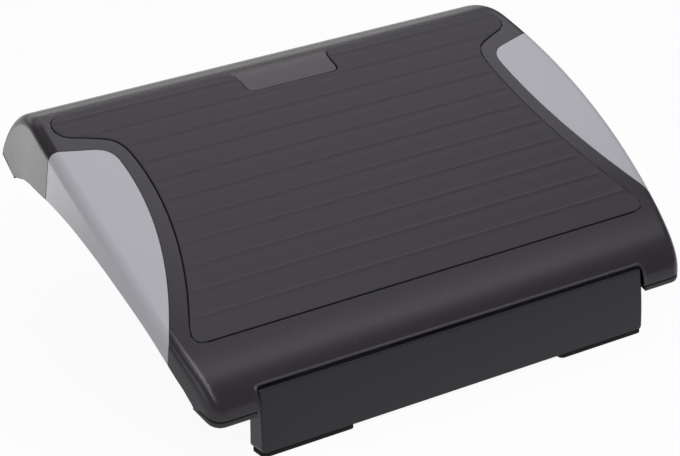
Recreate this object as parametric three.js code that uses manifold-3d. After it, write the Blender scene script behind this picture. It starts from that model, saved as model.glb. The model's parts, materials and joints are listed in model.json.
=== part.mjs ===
// Tilting under desk footrest: an arched platform that rocks on a low base.
// Millimetres, +Z up, +X across the width, +Y from the user's side to the rear.
// The platform is drawn flat, as across, along and up, and its group then tilts it about the axle.
import * as THREE from 'three';
import { mergeVertices } from 'three/addons/utils/BufferGeometryUtils.js';
import Module from 'manifold-3d';

const wasm = await Module();
wasm.setup();

// Clearances shared by every piece
const gap = 0.3; // between pieces that touch on the real product
const overrun = 3; // how far a cut runs past the face that it leaves
const weld = 0.5; // how far a rib or boss sinks into the wall that carries it
const leastSpan = 0.03; // outline points nearer than this count as one

// Tilt, in degrees, the axle's height above the floor, and how far the base reaches in front of the nose
const restTilt = 18.7;
const tiltTravel = 35;
const pivotHeight = 124;
const beamAheadOfNose = 3;

// Platform section: the crown is one large arc, blended into a thin nose and a thick tail
const platformWidth = 489.5;
const sideBowRadius = 960;
const sideBowAt = 0;
const wallFlareSlope = 0.03;
const noseReach = 161;
const tailReach = 192.3;
const pivotAlong = 24;
const pivotUp = 26;
const crownRadius = 800;
const crownAt = 125;
const crownHeight = 67.5;
const noseBlendAt = -108;
const noseFootUp = -2;
const noseLean = 5;
const noseRise = 17;
const noseTopPull = 34;
const tailBlendAt = 128;
const tailTopPull = 36;
const tailFootUp = -8;
const tailLean = 1.5;
const tailRise = 34;
const skirtDepth = 12;
const shellWall = 4.2;

// Rounding of the platform's side edges and of its corners in plan
const noseCornerRadius = 11;
const sideEdgeFrontRadius = 9;
const sideEdgeRearRadius = 9;
const tailCornerRadius = 12;
const leastEdgeRadius = 0.8;

// Lower edge of the side walls: a lip at each end and an arch between them
const frontLipLength = 23.5;
const rearLipLength = 39;
const lipFootUp = -2.8;
const archHeight = 37.6;
const archShares = [
  [0, 0], [0.04, 0.21], [0.135, 0.48], [0.236, 0.726], [0.347, 0.89], [0.47, 0.99],
  [0.61, 0.985], [0.733, 0.85], [0.833, 0.65], [0.915, 0.44], [0.962, 0.2], [1, 0],
];

// Notch in the front lip, over the base's front beam; margins are measured from the platform's side
const notchMargin = 55.25;
const notchTop = 15.7;
const notchDepth = 28;
const notchCornerRadius = 3;

// Ribs inside the platform shell
const shellRibPitch = 50;
const shellRibDepth = 8;
const shellRibThickness = 2;

// Rubber mat, its groove, its ribs and the bare tab that it leaves free
const matRise = 0.8;
const matThickness = 2.8;
const matGroove = 0.7;
const matFrontEdge = -107.3;
const matRearEdge = 137.5;
const matFrontMargin = 16.75;
const matCornerRadius = 19;
const matWaistMargin = 67.45;
const matWaistAt = 65;
const matBendPull = 34;
const matBendRearPull = 30;
const matLobeStartMargin = 29.75;
const matLobeStartAt = 108.5;
const matLobeSlope = 0.42;
const matLobePull = 14;
const matLobeMargin = 18.75;
const matLobeEndMargin = 37.75;
const tabHalfWidth = 44.5;
const tabFrontEdge = 109.7;
const tabCornerRadius = 6.3;
const tabFlareAt = 123;
const tabFlare = 9.5;
const matRibPitch = 21.4;
const matRibCount = 11;
const matRibRearmost = 128.3;
const matRibHeight = 0.5;
const matRibBase = 2.8;
const matRibTop = 1.3;
const matRibMargin = 1.4;

// Side accent panels
const panelThickness = 2;
const panelSeam = 0.5;
const panelWaistMargin = 55.55;
const panelWaistAt = 70;
const panelSeamMargin = 9.75;
const panelFrontSeam = -89.5;
const panelRearSeam = 98.6;
const panelLeanSlope = 0.22;
const panelBendMargin = 39.75;
const panelBendAlong = 90.8;
const panelBendPull = 12;
const panelBendRearPull = 11;

// Strips that close the underside of the lips at the four corners
const stripHeight = 3.8;
const stripGroove = 1.3;
const stripWidth = 8;
const stripTongue = 5;
const stripReach = 19;
const stripTaper = 4;
const stripSeatRise = 3.9;
const rearStripDrop = 1;
const frontStripInset = 2;
const rearStripSpan = 94.75;

// Base front beam
const footHeight = 3;
const beamSideGap = 1;
const beamTop = 56.2;
const beamFront = -3.2;
const beamTopSetback = 4.7;
const beamBellyShare = 0.7;
const beamBack = 14.3;
const beamWall = 2.6;
const beamEdgeRadius = 2;
const beamCornerRadius = 5;
const beamRibPitch = 45;
const beamRibThickness = 2;

// Base frame: a ribbed plate from the beam back to the rear feet
const frameTop = 20;
const framePlate = 3;
const frameSkirt = 2.6;
const frameFrontHalf = 135;
const frameRearHalf = 110;
const frameRear = 288;
const frameFrontRadius = 6;
const frameRearRadius = 16;
const frameCells = [6, 7];
const frameRib = 2;

// Rubber feet
const frontFootLength = 86;
const rearFootLength = 40;
const rearFootDepth = 24;
const rearFootInset = 5;
const footCornerRadius = 4;
const footPadThickness = 3;

// Axle line, outwards from the tower: tower, washer, bush flange, bracket lug, clip
const towerInset = 47;
const towerThickness = 8;
const washerThickness = 2.4;
const washerRadius = 10;
const bushFlange = 1.4;
const bushFlangeRadius = 9.5;
const bushWall = 1.7;
const lugThickness = 6;
const clipThickness = 1.2;
const clipRadius = 8.5;
const axleRadius = 5;
const axleGrooveDepth = 1;
const axleEnd = 2.6;
const axleChamfer = 0.8;

// Pivot tower
const hubRadius = 12;
const towerFootHalf = 50;
const towerFootThickness = 4;
const towerFootWidth = 16;
const towerWaistHalf = 35;
const towerWaistDrop = 18;
const towerHeadHalf = 20;
const towerRimDepth = 3;
const towerRimWidth = 5;
const towerWindowRadius = 15;
const towerWindowDrop = 58;
const shoulderDepth = 15;

// Rocker bracket, and the rubber pads that stop its flange
const flangeAbovePivot = 14;
const flangeThickness = 4;
const flangeFront = 38;
const flangeRear = 44;
const flangeInnerReach = 4;
const flangeOuterReach = 10;
const gussetThickness = 3;
const gussetReach = 7;
const gussetAt = 17;
const padLength = 12;
const padAt = 24;
const padHeight = 6;
const padWidth = 7;
const padPocket = 1.5;
const padSeat = 4;

// Screws
const screwRadius = 1.6;
const screwHeadRadius = 3.4;
const screwHeadHeight = 2.2;
const screwCrownShare = 0.7;
const screwLength = 9;
const screwBossRadius = 4.2;
const screwHoleDepth = 10;
const recessRadius = 1.3;
const recessDepth = 1.2;
const beamScrewHeight = 12;
const beamScrewPlaces = [-112.5, -22.5, 22.5, 112.5];
const screwSideRoom = 1.2;
const bracketScrewAt = [-33, 33];
const towerScrewAt = [-40, 40];

// Colours, with roughness and metalness
const finishes = {
  shell: { color: 0x3a373a, roughness: 0.55, metalness: 0 },
  mat: { color: 0x343336, roughness: 0.8, metalness: 0 },
  panel: { color: 0xa6a9ae, roughness: 0.45, metalness: 0.1 },
  strip: { color: 0x232325, roughness: 0.7, metalness: 0 },
  base: { color: 0x2e2c2f, roughness: 0.5, metalness: 0 },
  bracket: { color: 0x2a2a2c, roughness: 0.6, metalness: 0 },
  rubber: { color: 0x19191b, roughness: 0.9, metalness: 0 },
  nylon: { color: 0xd8d4c8, roughness: 0.5, metalness: 0 },
  steel: { color: 0x9a9da2, roughness: 0.35, metalness: 1 },
};

// Smoothness of the curved faces
const noseSteps = 9;
const crownSteps = 10;
const tailSteps = 8;
const edgeSteps = 4;
const insideCoarseness = 3;
const outlineSteps = 6;
const archSteps = 19;
const roundSteps = 16;
const footCornerSteps = 2;

// Platform values that follow from those above
const halfWidth = platformWidth / 2;
const notchHalfWidth = halfWidth - notchMargin;
const frontStripInner = notchHalfWidth + frontStripInset;
const rearStripInner = halfWidth - rearStripSpan;
const matFrontHalf = halfWidth - matFrontMargin;
const matWaistHalf = halfWidth - matWaistMargin;
const matLobeStart = [halfWidth - matLobeStartMargin, matLobeStartAt];
const matLobeHalf = halfWidth - matLobeMargin;
const matLobeEnd = halfWidth - matLobeEndMargin;
const panelWaistHalf = halfWidth - panelWaistMargin;
const panelSeamHalf = halfWidth - panelSeamMargin;
const panelBendAt = [halfWidth - panelBendMargin, panelBendAlong];
const pivotBehindFront = noseReach + beamAheadOfNose;
const beamHalfWidth = notchHalfWidth - beamSideGap;
const panelRecess = panelThickness + gap;
const matRecess = matThickness - matRise + gap;
const frontLipEnd = -noseReach + frontLipLength;
const stripSeatUp = lipFootUp + stripSeatRise;
const rearLipStart = tailReach - rearLipLength;
const deepDown = skirtDepth + overrun;
const aboveAll = crownHeight + overrun;
const flangeBottom = pivotUp + flangeAbovePivot;
const flangeTop = flangeBottom + flangeThickness;
const towerInner = frameFrontHalf - towerInset;
const towerOuter = towerInner + towerThickness;
const washerStart = towerOuter + gap;
const bushStart = washerStart + washerThickness + gap;
const lugStart = bushStart + bushFlange + gap;
const lugEnd = lugStart + lugThickness;
const clipStart = lugEnd + gap * 2;
const axleHalf = clipStart + clipThickness + axleEnd;
const bracketScrewAcross = lugEnd + screwHeadRadius + screwSideRoom;
const beamBottom = footHeight + gap;
const frameFront = beamBack + gap;
const towerFootTop = frameTop + gap + towerFootThickness;

// A closed geometry as a solid that can be joined and cut
function toSolid(geometry) {
  const bare = geometry.clone();
  bare.deleteAttribute('normal');
  bare.deleteAttribute('uv');
  const merged = mergeVertices(bare);
  return new wasm.Manifold(new wasm.Mesh({
    numProp: 3,
    vertProperties: merged.attributes.position.array,
    triVerts: Uint32Array.from(merged.index.array),
  }));
}

function toGeometry(solid) {
  const mesh = solid.getMesh();
  const geometry = new THREE.BufferGeometry();
  geometry.setAttribute('position', new THREE.BufferAttribute(mesh.vertProperties, mesh.numProp));
  geometry.setIndex(new THREE.BufferAttribute(mesh.triVerts, 1));
  return geometry;
}

function joined(solids) {
  return solids.reduce((sum, solid) => sum.add(solid));
}

function lerp(from, to, share) {
  return from + (to - from) * share;
}

// Boxes, prisms and round pieces
function block(across, along, up) {
  const size = [across, along, up].map(([low, high]) => high - low);
  const geometry = new THREE.BoxGeometry(...size);
  geometry.translate((across[0] + across[1]) / 2, (along[0] + along[1]) / 2, (up[0] + up[1]) / 2);
  return toSolid(geometry);
}

function prism(shape, low, high, curveSegments = outlineSteps) {
  const options = { depth: high - low, bevelEnabled: false, curveSegments };
  const geometry = new THREE.ExtrudeGeometry(shape, options);
  geometry.translate(0, 0, low);
  return geometry;
}

function planPrism(shape, low, high, curveSegments = outlineSteps) {
  return toSolid(prism(shape, low, high, curveSegments));
}

// The outline is drawn as (along, up) and the prism runs across
function sidePrism(shape, low, high) {
  const geometry = prism(shape, low, high);
  const axes = [new THREE.Vector3(0, 1, 0), new THREE.Vector3(0, 0, 1), new THREE.Vector3(1, 0, 0)];
  geometry.applyMatrix4(new THREE.Matrix4().makeBasis(...axes));
  return toSolid(geometry);
}

// The outline is drawn as (across, up) and the prism runs along
function frontPrism(shape, low, high) {
  const geometry = prism(shape, -high, -low);
  geometry.rotateX(Math.PI / 2);
  return toSolid(geometry);
}

// A revolved piece with its profile as (radius, place on the axis), turned to point across, along or up
function revolved(profile, direction, steps = roundSteps) {
  const points = profile.map(([radius, place]) => new THREE.Vector2(radius, place));
  const geometry = new THREE.LatheGeometry(points, steps);
  if (direction === 'across') geometry.rotateZ(-Math.PI / 2);
  if (direction === 'up') geometry.rotateX(Math.PI / 2);
  return geometry;
}

function cylinder(radius, low, high, direction) {
  return revolved([[0, low], [radius, low], [radius, high], [0, high]], direction);
}

function placedCylinder(radius, low, high, direction, place) {
  const geometry = cylinder(radius, low, high, direction);
  geometry.translate(...place);
  return toSolid(geometry);
}

function shapeOf(points) {
  return new THREE.Shape(points.map(([x, y]) => new THREE.Vector2(x, y)));
}

// A rectangle with its corners rounded, given as low and high pairs and two radii, front then rear
function roundedPlan(across, along, frontRadius, rearRadius) {
  const shape = new THREE.Shape();
  shape.moveTo(across[0] + frontRadius, along[0]);
  shape.absarc(across[1] - frontRadius, along[0] + frontRadius, frontRadius, -Math.PI / 2, 0);
  shape.absarc(across[1] - rearRadius, along[1] - rearRadius, rearRadius, 0, Math.PI / 2);
  shape.absarc(across[0] + rearRadius, along[1] - rearRadius, rearRadius, Math.PI / 2, Math.PI);
  shape.absarc(across[0] + frontRadius, along[0] + frontRadius, frontRadius, Math.PI, Math.PI * 1.5);
  return shape;
}

// A closed outline moved out by a distance, or in by a negative one
function offsetOutline(points, distance) {
  const sense = Math.sign(THREE.ShapeUtils.area(points));
  const cornerAt = (place) => {
    const point = points[place];
    const before = points[(place + points.length - 1) % points.length];
    const after = points[(place + 1) % points.length];
    const into = point.clone().sub(before).normalize();
    const out = after.clone().sub(point).normalize();
    const bisector = into.clone().add(out).normalize();
    const stretch = bisector.dot(out);
    const outward = new THREE.Vector2(bisector.y, -bisector.x).multiplyScalar(sense);
    return point.clone().addScaledVector(outward, distance / stretch);
  };
  return points.map((_, place) => cornerAt(place));
}

function distinctPoints(points) {
  return points.filter((point, place) => point.distanceTo(points[(place + 1) % points.length]) > leastSpan);
}

// Crown of the platform: height and slope at a place along it
function crownUp(along) {
  return crownHeight - crownRadius + Math.sqrt(crownRadius ** 2 - (along - crownAt) ** 2);
}

function crownSlope(along) {
  return (crownAt - along) / Math.sqrt(crownRadius ** 2 - (along - crownAt) ** 2);
}

function crownAngle(along) {
  return Math.acos((along - crownAt) / crownRadius);
}

// Side view of the platform, from the foot of the nose over the crown to the foot of the tail
function sectionCurves(reachDown) {
  const at = (along, up) => new THREE.Vector2(along, up);
  const noseTop = at(noseBlendAt, crownUp(noseBlendAt));
  const noseHandle = at(noseBlendAt - noseTopPull, noseTop.y - noseTopPull * crownSlope(noseBlendAt));
  const tailTop = at(tailBlendAt, crownUp(tailBlendAt));
  const tailHandle = at(tailBlendAt + tailTopPull, tailTop.y + tailTopPull * crownSlope(tailBlendAt));
  const crownMiddle = crownHeight - crownRadius;
  const noseFoot = at(-noseReach, noseFootUp);
  const noseLowHandle = at(-noseReach + noseLean, noseFootUp + noseRise);
  const tailFoot = at(tailReach, tailFootUp);
  const tailLowHandle = at(tailReach - tailLean, tailFootUp + tailRise);
  return [
    [new THREE.LineCurve(at(-noseReach, -reachDown), noseFoot), 1, noseCornerRadius, noseCornerRadius],
    [new THREE.CubicBezierCurve(noseFoot, noseLowHandle, noseHandle, noseTop),
      noseSteps, noseCornerRadius, sideEdgeFrontRadius],
    [new THREE.EllipseCurve(crownAt, crownMiddle, crownRadius, crownRadius,
      crownAngle(noseBlendAt), crownAngle(tailBlendAt), true),
    crownSteps, sideEdgeFrontRadius, sideEdgeRearRadius],
    [new THREE.CubicBezierCurve(tailTop, tailHandle, tailLowHandle, tailFoot),
      tailSteps, sideEdgeRearRadius, tailCornerRadius],
    [new THREE.LineCurve(tailFoot, at(tailReach, -reachDown)), 1, tailCornerRadius, tailCornerRadius],
  ];
}

// Samples of the side view, and the places along the foot that lie straight below the crown's samples
function sectionSamples(reachDown, coarseness) {
  const samples = [];
  const footSamples = [];
  const curves = sectionCurves(reachDown);
  curves.forEach(([curve, fineSteps, firstRadius, lastRadius], order) => {
    const steps = Math.ceil(fineSteps / coarseness);
    const last = order === curves.length - 1 ? steps : steps - 1;
    for (let step = 0; step <= last; step += 1) {
      const share = step / steps;
      const tangent = curve.getTangent(share);
      const point = curve.getPoint(share);
      const radius = lerp(firstRadius, lastRadius, share);
      samples.push({ point, inward: new THREE.Vector2(tangent.y, -tangent.x), radius });
      if (curve.isEllipseCurve) {
        const below = new THREE.Vector2(point.x, -reachDown);
        footSamples.push({ point: below, inward: new THREE.Vector2(), radius, under: samples.length - 1 });
      }
    }
  });
  return { samples, footSamples: footSamples.reverse() };
}

// Half of the platform's width at a place in the side view: the walls bow out, and flare out downwards
function halfAt(point) {
  const bowed = halfWidth - sideBowRadius + Math.sqrt(sideBowRadius ** 2 - (point.x - sideBowAt) ** 2);
  return bowed + wallFlareSlope * (crownUp(point.x) - point.y);
}

// One ring of the platform's side edge: at angle 0 on the top, at a right angle on the side wall
function edgePoint(sample, side, angle, inset) {
  const radius = Math.max(sample.radius - inset, leastEdgeRadius);
  const sink = inset + radius * (1 - Math.cos(angle));
  const across = side * (halfAt(sample.point) - inset - radius * (1 - Math.sin(angle)));
  const place = sample.point.clone().addScaledVector(sample.inward, sink);
  return new THREE.Vector3(across, place.x, place.y);
}

// Triangles of a side wall: strips from the crown down to the foot, and a fan at the nose and the tail
function wallFaces(samples, footSamples) {
  const footPlace = (order) => samples.length + order;
  const faces = [];
  const frontFoot = footSamples.length - 1;
  for (let place = 0; place < footSamples[frontFoot].under; place += 1) {
    faces.push([place, footPlace(frontFoot), place + 1]);
  }
  for (let order = frontFoot; order > 0; order -= 1) {
    const { under } = footSamples[order];
    faces.push([under, footPlace(order), footPlace(order - 1)]);
    faces.push([under, footPlace(order - 1), under + 1]);
  }
  for (let place = footSamples[0].under; place < samples.length - 1; place += 1) {
    faces.push([place, footPlace(0), place + 1]);
  }
  return faces;
}

// A closed skin over rings of equal count, which run across from left to right
function loft(rings, endFaces) {
  const count = rings[0].length;
  const indices = [];
  for (let ring = 0; ring < rings.length - 1; ring += 1) {
    for (let place = 0; place < count; place += 1) {
      const next = (place + 1) % count;
      const [a, b] = [ring * count + place, (ring + 1) * count + place];
      const [c, d] = [(ring + 1) * count + next, ring * count + next];
      indices.push(a, b, c, a, c, d);
    }
  }
  const lastRing = (rings.length - 1) * count;
  for (const [a, b, c] of endFaces) {
    indices.push(a, c, b);
    indices.push(lastRing + a, lastRing + b, lastRing + c);
  }
  const geometry = new THREE.BufferGeometry().setFromPoints(rings.flat());
  geometry.setIndex(indices);
  return geometry;
}

// The platform's outer form moved in by an inset everywhere but at its open foot; hidden forms are coarser
function envelope(inset, reachDown = skirtDepth, coarseness = 1) {
  const { samples, footSamples } = sectionSamples(reachDown, coarseness);
  const steps = Math.ceil(edgeSteps / coarseness);
  const rings = [];
  for (const side of [-1, 1]) {
    for (let step = 0; step <= steps; step += 1) {
      const share = side < 0 ? 1 - step / steps : step / steps;
      const ringSamples = [...samples, ...footSamples];
      rings.push(ringSamples.map((sample) => edgePoint(sample, side, share * Math.PI / 2, inset)));
    }
  }
  return toSolid(loft(rings, wallFaces(samples, footSamples)));
}

// Lower edge of the side walls: a lip at each end and an arch between them
function archPoints() {
  const length = rearLipStart - frontLipEnd;
  const places = archShares.map(([share, rise]) => new THREE.Vector2(
    frontLipEnd + length * share,
    lipFootUp + archHeight * rise,
  ));
  return new THREE.SplineCurve(places).getPoints(archSteps).map((point) => [point.x, point.y]);
}

// The front lip steps up to make room for the strips that wrap its corners
function belowEdge() {
  const floor = -skirtDepth - overrun * 2;
  const [front, rear] = [-noseReach - overrun, tailReach + overrun];
  const seatEnd = -noseReach + stripReach;
  const seat = [[front, stripSeatUp], [seatEnd, stripSeatUp], [seatEnd + stripTaper, lipFootUp]];
  const outline = [[front, floor], ...seat, ...archPoints(), [rear, lipFootUp], [rear, floor]];
  return sidePrism(shapeOf(outline), -halfWidth - overrun, halfWidth + overrun);
}

// Mat outline: wide at the front, drawn in beside the panels, with a lobe at each rear corner
function matHalfOutline() {
  const at = (across, along) => new THREE.Vector2(across, along);
  const waist = at(matWaistHalf, matWaistAt);
  const lobe = at(...matLobeStart);
  const sideCurve = new THREE.QuadraticBezierCurve(
    at(matFrontHalf, matFrontEdge),
    at(matWaistHalf, (matFrontEdge + matWaistAt) / 2),
    waist,
  );
  const cornerShare = matCornerRadius / (matWaistAt - matFrontEdge);
  const cornerEnd = sideCurve.getPoint(cornerShare);
  const frontCorner = new THREE.QuadraticBezierCurve(
    at(matFrontHalf - matCornerRadius, matFrontEdge),
    at(matFrontHalf, matFrontEdge),
    cornerEnd,
  );
  const bend = new THREE.CubicBezierCurve(
    waist,
    at(matWaistHalf, matWaistAt + matBendPull),
    at(lobe.x - matBendRearPull, lobe.y - matBendRearPull * matLobeSlope),
    lobe,
  );
  const lobeCurve = new THREE.CubicBezierCurve(
    lobe,
    at(lobe.x + matLobePull, lobe.y + matLobePull * matLobeSlope),
    at(matLobeHalf, matRearEdge),
    at(matLobeEnd, matRearEdge),
  );
  const flareCurve = new THREE.CubicBezierCurve(
    at(tabHalfWidth + tabFlare, matRearEdge),
    at(tabHalfWidth + tabFlare / 4, matRearEdge),
    at(tabHalfWidth, lerp(tabFlareAt, matRearEdge, 1 / 2)),
    at(tabHalfWidth, tabFlareAt),
  );
  const tabCorner = new THREE.QuadraticBezierCurve(
    at(tabHalfWidth, tabFrontEdge + tabCornerRadius),
    at(tabHalfWidth, tabFrontEdge),
    at(tabHalfWidth - tabCornerRadius, tabFrontEdge),
  );
  const sidePoints = sideCurve.getPoints(outlineSteps * 2).filter((point) => point.y > cornerEnd.y);
  return [
    ...frontCorner.getPoints(outlineSteps / 2),
    ...sidePoints,
    ...bend.getPoints(outlineSteps).slice(1),
    ...lobeCurve.getPoints(outlineSteps).slice(1),
    ...flareCurve.getPoints(outlineSteps / 2),
    ...tabCorner.getPoints(outlineSteps / 2),
  ];
}

function matShape(offset) {
  const right = matHalfOutline();
  const left = right.map((point) => new THREE.Vector2(-point.x, point.y)).reverse();
  const closed = distinctPoints([...right, ...left]);
  return new THREE.Shape(offsetOutline(closed, offset));
}

// Panel outline in plan, on one side, as it lies on the crown; it runs past the side wall
function panelShape(side, offset) {
  const at = (across, along) => new THREE.Vector2(side * across, along);
  const outside = halfWidth + overrun * 2;
  const bend = panelBendAt;
  const rearSlope = (panelRearSeam - bend[1]) / (panelSeamHalf - bend[0]);
  const bow = (panelSeamHalf - panelWaistHalf) / (panelWaistAt - panelFrontSeam) ** 2;
  const frontAlong = panelWaistAt - Math.sqrt((outside - panelWaistHalf) / bow);
  const sideCurve = new THREE.QuadraticBezierCurve(
    at(outside, frontAlong),
    at(panelWaistHalf, (frontAlong + panelWaistAt) / 2),
    at(panelWaistHalf, panelWaistAt),
  );
  const corner = new THREE.CubicBezierCurve(
    at(panelWaistHalf, panelWaistAt),
    at(panelWaistHalf, panelWaistAt + panelBendPull),
    at(bend[0] - panelBendRearPull, bend[1] - panelBendRearPull * rearSlope),
    at(bend[0], bend[1]),
  );
  const points = [
    ...sideCurve.getPoints(outlineSteps * 2),
    ...corner.getPoints(outlineSteps).slice(1),
    at(outside, bend[1] + (outside - bend[0]) * rearSlope),
  ];
  return new THREE.Shape(offsetOutline(points, offset));
}

// The panel's prism leans forward as it goes down the side wall, and meets its outline on the crown
function panelPrism(side, offset) {
  const shape = panelShape(side, offset);
  const leant = shape.getPoints().map((point) => (
    new THREE.Vector2(point.x, point.y - panelLeanSlope * crownUp(point.y))
  ));
  const geometry = prism(new THREE.Shape(leant), -skirtDepth + overrun, aboveAll + overrun);
  const lean = new THREE.Matrix4().makeShear(0, 0, 0, 0, 0, panelLeanSlope);
  geometry.applyMatrix4(lean);
  return toSolid(geometry);
}

// Ribs under the crown, clear of the brackets and of the lips
function shellRibs() {
  const plates = [];
  const halfThickness = shellRibThickness / 2;
  const acrossCount = Math.floor(halfWidth / shellRibPitch);
  for (let count = -acrossCount; count <= acrossCount; count += 1) {
    const middle = count * shellRibPitch;
    const across = [middle - halfThickness, middle + halfThickness];
    plates.push(block(across, [-noseReach, tailReach], [0, aboveAll]));
  }
  const alongCount = Math.floor(noseReach / shellRibPitch);
  for (let count = 1 - alongCount; count <= alongCount; count += 1) {
    const middle = (count - 1 / 2) * shellRibPitch;
    const along = [middle - halfThickness, middle + halfThickness];
    plates.push(block([-halfWidth, halfWidth], along, [0, aboveAll]));
  }
  const ribRoot = envelope(shellWall - weld, skirtDepth, insideCoarseness);
  const band = ribRoot.subtract(envelope(shellWall + shellRibDepth, deepDown, insideCoarseness));
  const [across, up] = [[-halfWidth, halfWidth], [-deepDown, notchTop]];
  const frontLip = block(across, [-noseReach, frontLipEnd + overrun], up);
  const rearLip = block(across, [rearLipStart - overrun, tailReach], up);
  return band.intersect(joined(plates)).subtract(joined([frontLip, rearLip, ...bracketSpaces()]));
}

function bracketSpaces() {
  const along = [pivotAlong - flangeFront - overrun, pivotAlong + flangeRear + overrun];
  const across = [towerInner - flangeInnerReach - overrun, lugEnd + flangeOuterReach + overrun];
  return [-1, 1].map((side) => {
    const sides = across.map((place) => place * side).sort((a, b) => a - b);
    return block(sides, along, [-deepDown, aboveAll]);
  });
}

function bracketScrewPlaces() {
  const across = [-bracketScrewAcross, bracketScrewAcross];
  return across.flatMap((place) => bracketScrewAt.map((along) => [place, pivotAlong + along]));
}

function shellBosses() {
  return bracketScrewPlaces().map(([across, along]) => {
    const top = crownUp(along) - shellWall + weld;
    return placedCylinder(screwBossRadius, flangeTop + gap, top, 'up', [across, along, 0]);
  });
}

function shellBossHoles() {
  const top = flangeBottom + screwHoleDepth;
  return bracketScrewPlaces().map(([across, along]) => (
    placedCylinder(screwRadius + gap, flangeTop - overrun, top, 'up', [across, along, 0])
  ));
}

// Rounded opening in the front lip that the beam looks through
function notchCut() {
  const shape = new THREE.Shape();
  const round = notchCornerRadius;
  shape.moveTo(-notchHalfWidth, -deepDown - overrun);
  shape.lineTo(notchHalfWidth, -deepDown - overrun);
  shape.lineTo(notchHalfWidth, notchTop - round);
  shape.absarc(notchHalfWidth - round, notchTop - round, round, 0, Math.PI / 2);
  shape.absarc(-notchHalfWidth + round, notchTop - round, round, Math.PI / 2, Math.PI);
  return frontPrism(shape, -noseReach - overrun, -noseReach + notchDepth);
}

function topShell() {
  const walls = envelope(0).subtract(envelope(shellWall, deepDown, insideCoarseness));
  const inside = joined([walls, shellRibs(), ...shellBosses()]);
  const cuts = [
    belowEdge(),
    notchCut(),
    planPrism(matShape(0), 0, aboveAll + overrun).subtract(envelope(matRecess)),
    joined([-1, 1].map((side) => panelPrism(side, 0))).subtract(envelope(panelRecess)),
    ...shellBossHoles(),
  ];
  return cuts.reduce((solid, cut) => solid.subtract(cut), inside);
}

// One rib of the mat, square to the crown
function matRib(along) {
  const lean = Math.atan(crownSlope(along));
  const at = (out, rise) => [
    along + out * Math.cos(lean) - rise * Math.sin(lean),
    crownUp(along) + matRise + out * Math.sin(lean) + rise * Math.cos(lean),
  ];
  const outline = [
    at(-matRibBase / 2, -weld),
    at(matRibBase / 2, -weld),
    at(matRibTop / 2, matRibHeight),
    at(-matRibTop / 2, matRibHeight),
  ];
  return sidePrism(shapeOf(outline), -halfWidth, halfWidth);
}

function rubberMat() {
  const slab = envelope(-matRise).subtract(envelope(matThickness - matRise, deepDown));
  const ribs = [];
  for (let count = 0; count < matRibCount; count += 1) {
    ribs.push(matRib(matRibRearmost - count * matRibPitch));
  }
  const ribArea = planPrism(matShape(-matGroove - matRibMargin), 0, aboveAll + overrun);
  const area = planPrism(matShape(-matGroove), 0, aboveAll + overrun);
  return slab.intersect(area).add(joined(ribs).intersect(ribArea));
}

function sidePanel(side) {
  const skin = envelope(0).subtract(envelope(panelThickness, deepDown));
  return skin.intersect(panelPrism(side, -panelSeam)).subtract(belowEdge());
}

// A corner strip: a band that shows under the lip, with a tongue up inside the shell's wall
function lipStrip(side, end) {
  const inner = end < 0 ? frontStripInner : rearStripInner;
  const across = [side * inner, side * (halfWidth + overrun)].sort((a, b) => a - b);
  const tip = end < 0 ? -noseReach - overrun : tailReach + overrun;
  const seatEnd = end < 0 ? -noseReach + stripReach : rearLipStart + stripTaper;
  const top = end < 0 ? stripSeatUp - stripGroove : lipFootUp - stripGroove / 2;
  const drop = end < 0 ? stripHeight : rearStripDrop;
  const outline = [[tip, top], [tip, top - drop], [seatEnd - end * stripTaper, top - drop], [seatEnd, top]];
  const inside = envelope(stripWidth, deepDown, insideCoarseness);
  const band = envelope(0).subtract(inside).intersect(sidePrism(shapeOf(outline), ...across));
  const tongue = envelope(shellWall + gap, skirtDepth, insideCoarseness).subtract(inside);
  const tongueAlong = [tip, seatEnd].sort((a, b) => a - b);
  return band.add(tongue.intersect(block(across, tongueAlong, [top - weld, top + stripTongue])));
}

// Rocker bracket: a lug round the bush and a flange under the shell, drawn about the axle
function rockerBracket(side) {
  const across = (low, high) => [side * low, side * high].sort((a, b) => a - b);
  const lug = new THREE.Shape();
  lug.absarc(0, 0, hubRadius, Math.PI, Math.PI * 2);
  lug.lineTo(hubRadius * 2, flangeAbovePivot + weld);
  lug.lineTo(-hubRadius * 2, flangeAbovePivot + weld);
  const flangeAcross = across(towerInner - flangeInnerReach, lugEnd + flangeOuterReach);
  const flangeUp = [flangeAbovePivot, flangeAbovePivot + flangeThickness];
  const flange = block(flangeAcross, [-flangeFront, flangeRear], flangeUp);
  const gusset = new THREE.Shape();
  gusset.moveTo(side * (lugEnd - weld), flangeAbovePivot + weld);
  gusset.lineTo(side * (lugEnd + gussetReach), flangeAbovePivot + weld);
  gusset.lineTo(side * (lugEnd - weld), hubRadius / 2);
  const gussets = [-1, 1].map((end) => {
    const middle = end * gussetAt;
    return frontPrism(gusset, middle - gussetThickness / 2, middle + gussetThickness / 2);
  });
  const body = joined([sidePrism(lug, ...across(lugStart, lugEnd)), flange, ...gussets]);
  const boreRadius = axleRadius + gap + bushWall + gap;
  const bore = toSolid(cylinder(boreRadius, ...across(lugStart - overrun, lugEnd + overrun), 'across'));
  const holes = bracketScrewAt.map((along) => placedCylinder(
    screwRadius + gap,
    flangeAbovePivot - overrun,
    flangeAbovePivot + flangeThickness + overrun,
    'up',
    [side * bracketScrewAcross, along, 0],
  ));
  return [bore, ...holes].reduce((solid, cut) => solid.subtract(cut), body);
}

function ring(innerRadius, outerRadius, low, high) {
  const corners = [[innerRadius, low], [outerRadius, low], [outerRadius, high], [innerRadius, high]];
  return [...corners, corners[0]];
}

function mirroredProfile(profile, side) {
  return side < 0 ? profile.map(([radius, place]) => [radius, -place]).reverse() : profile;
}

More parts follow.
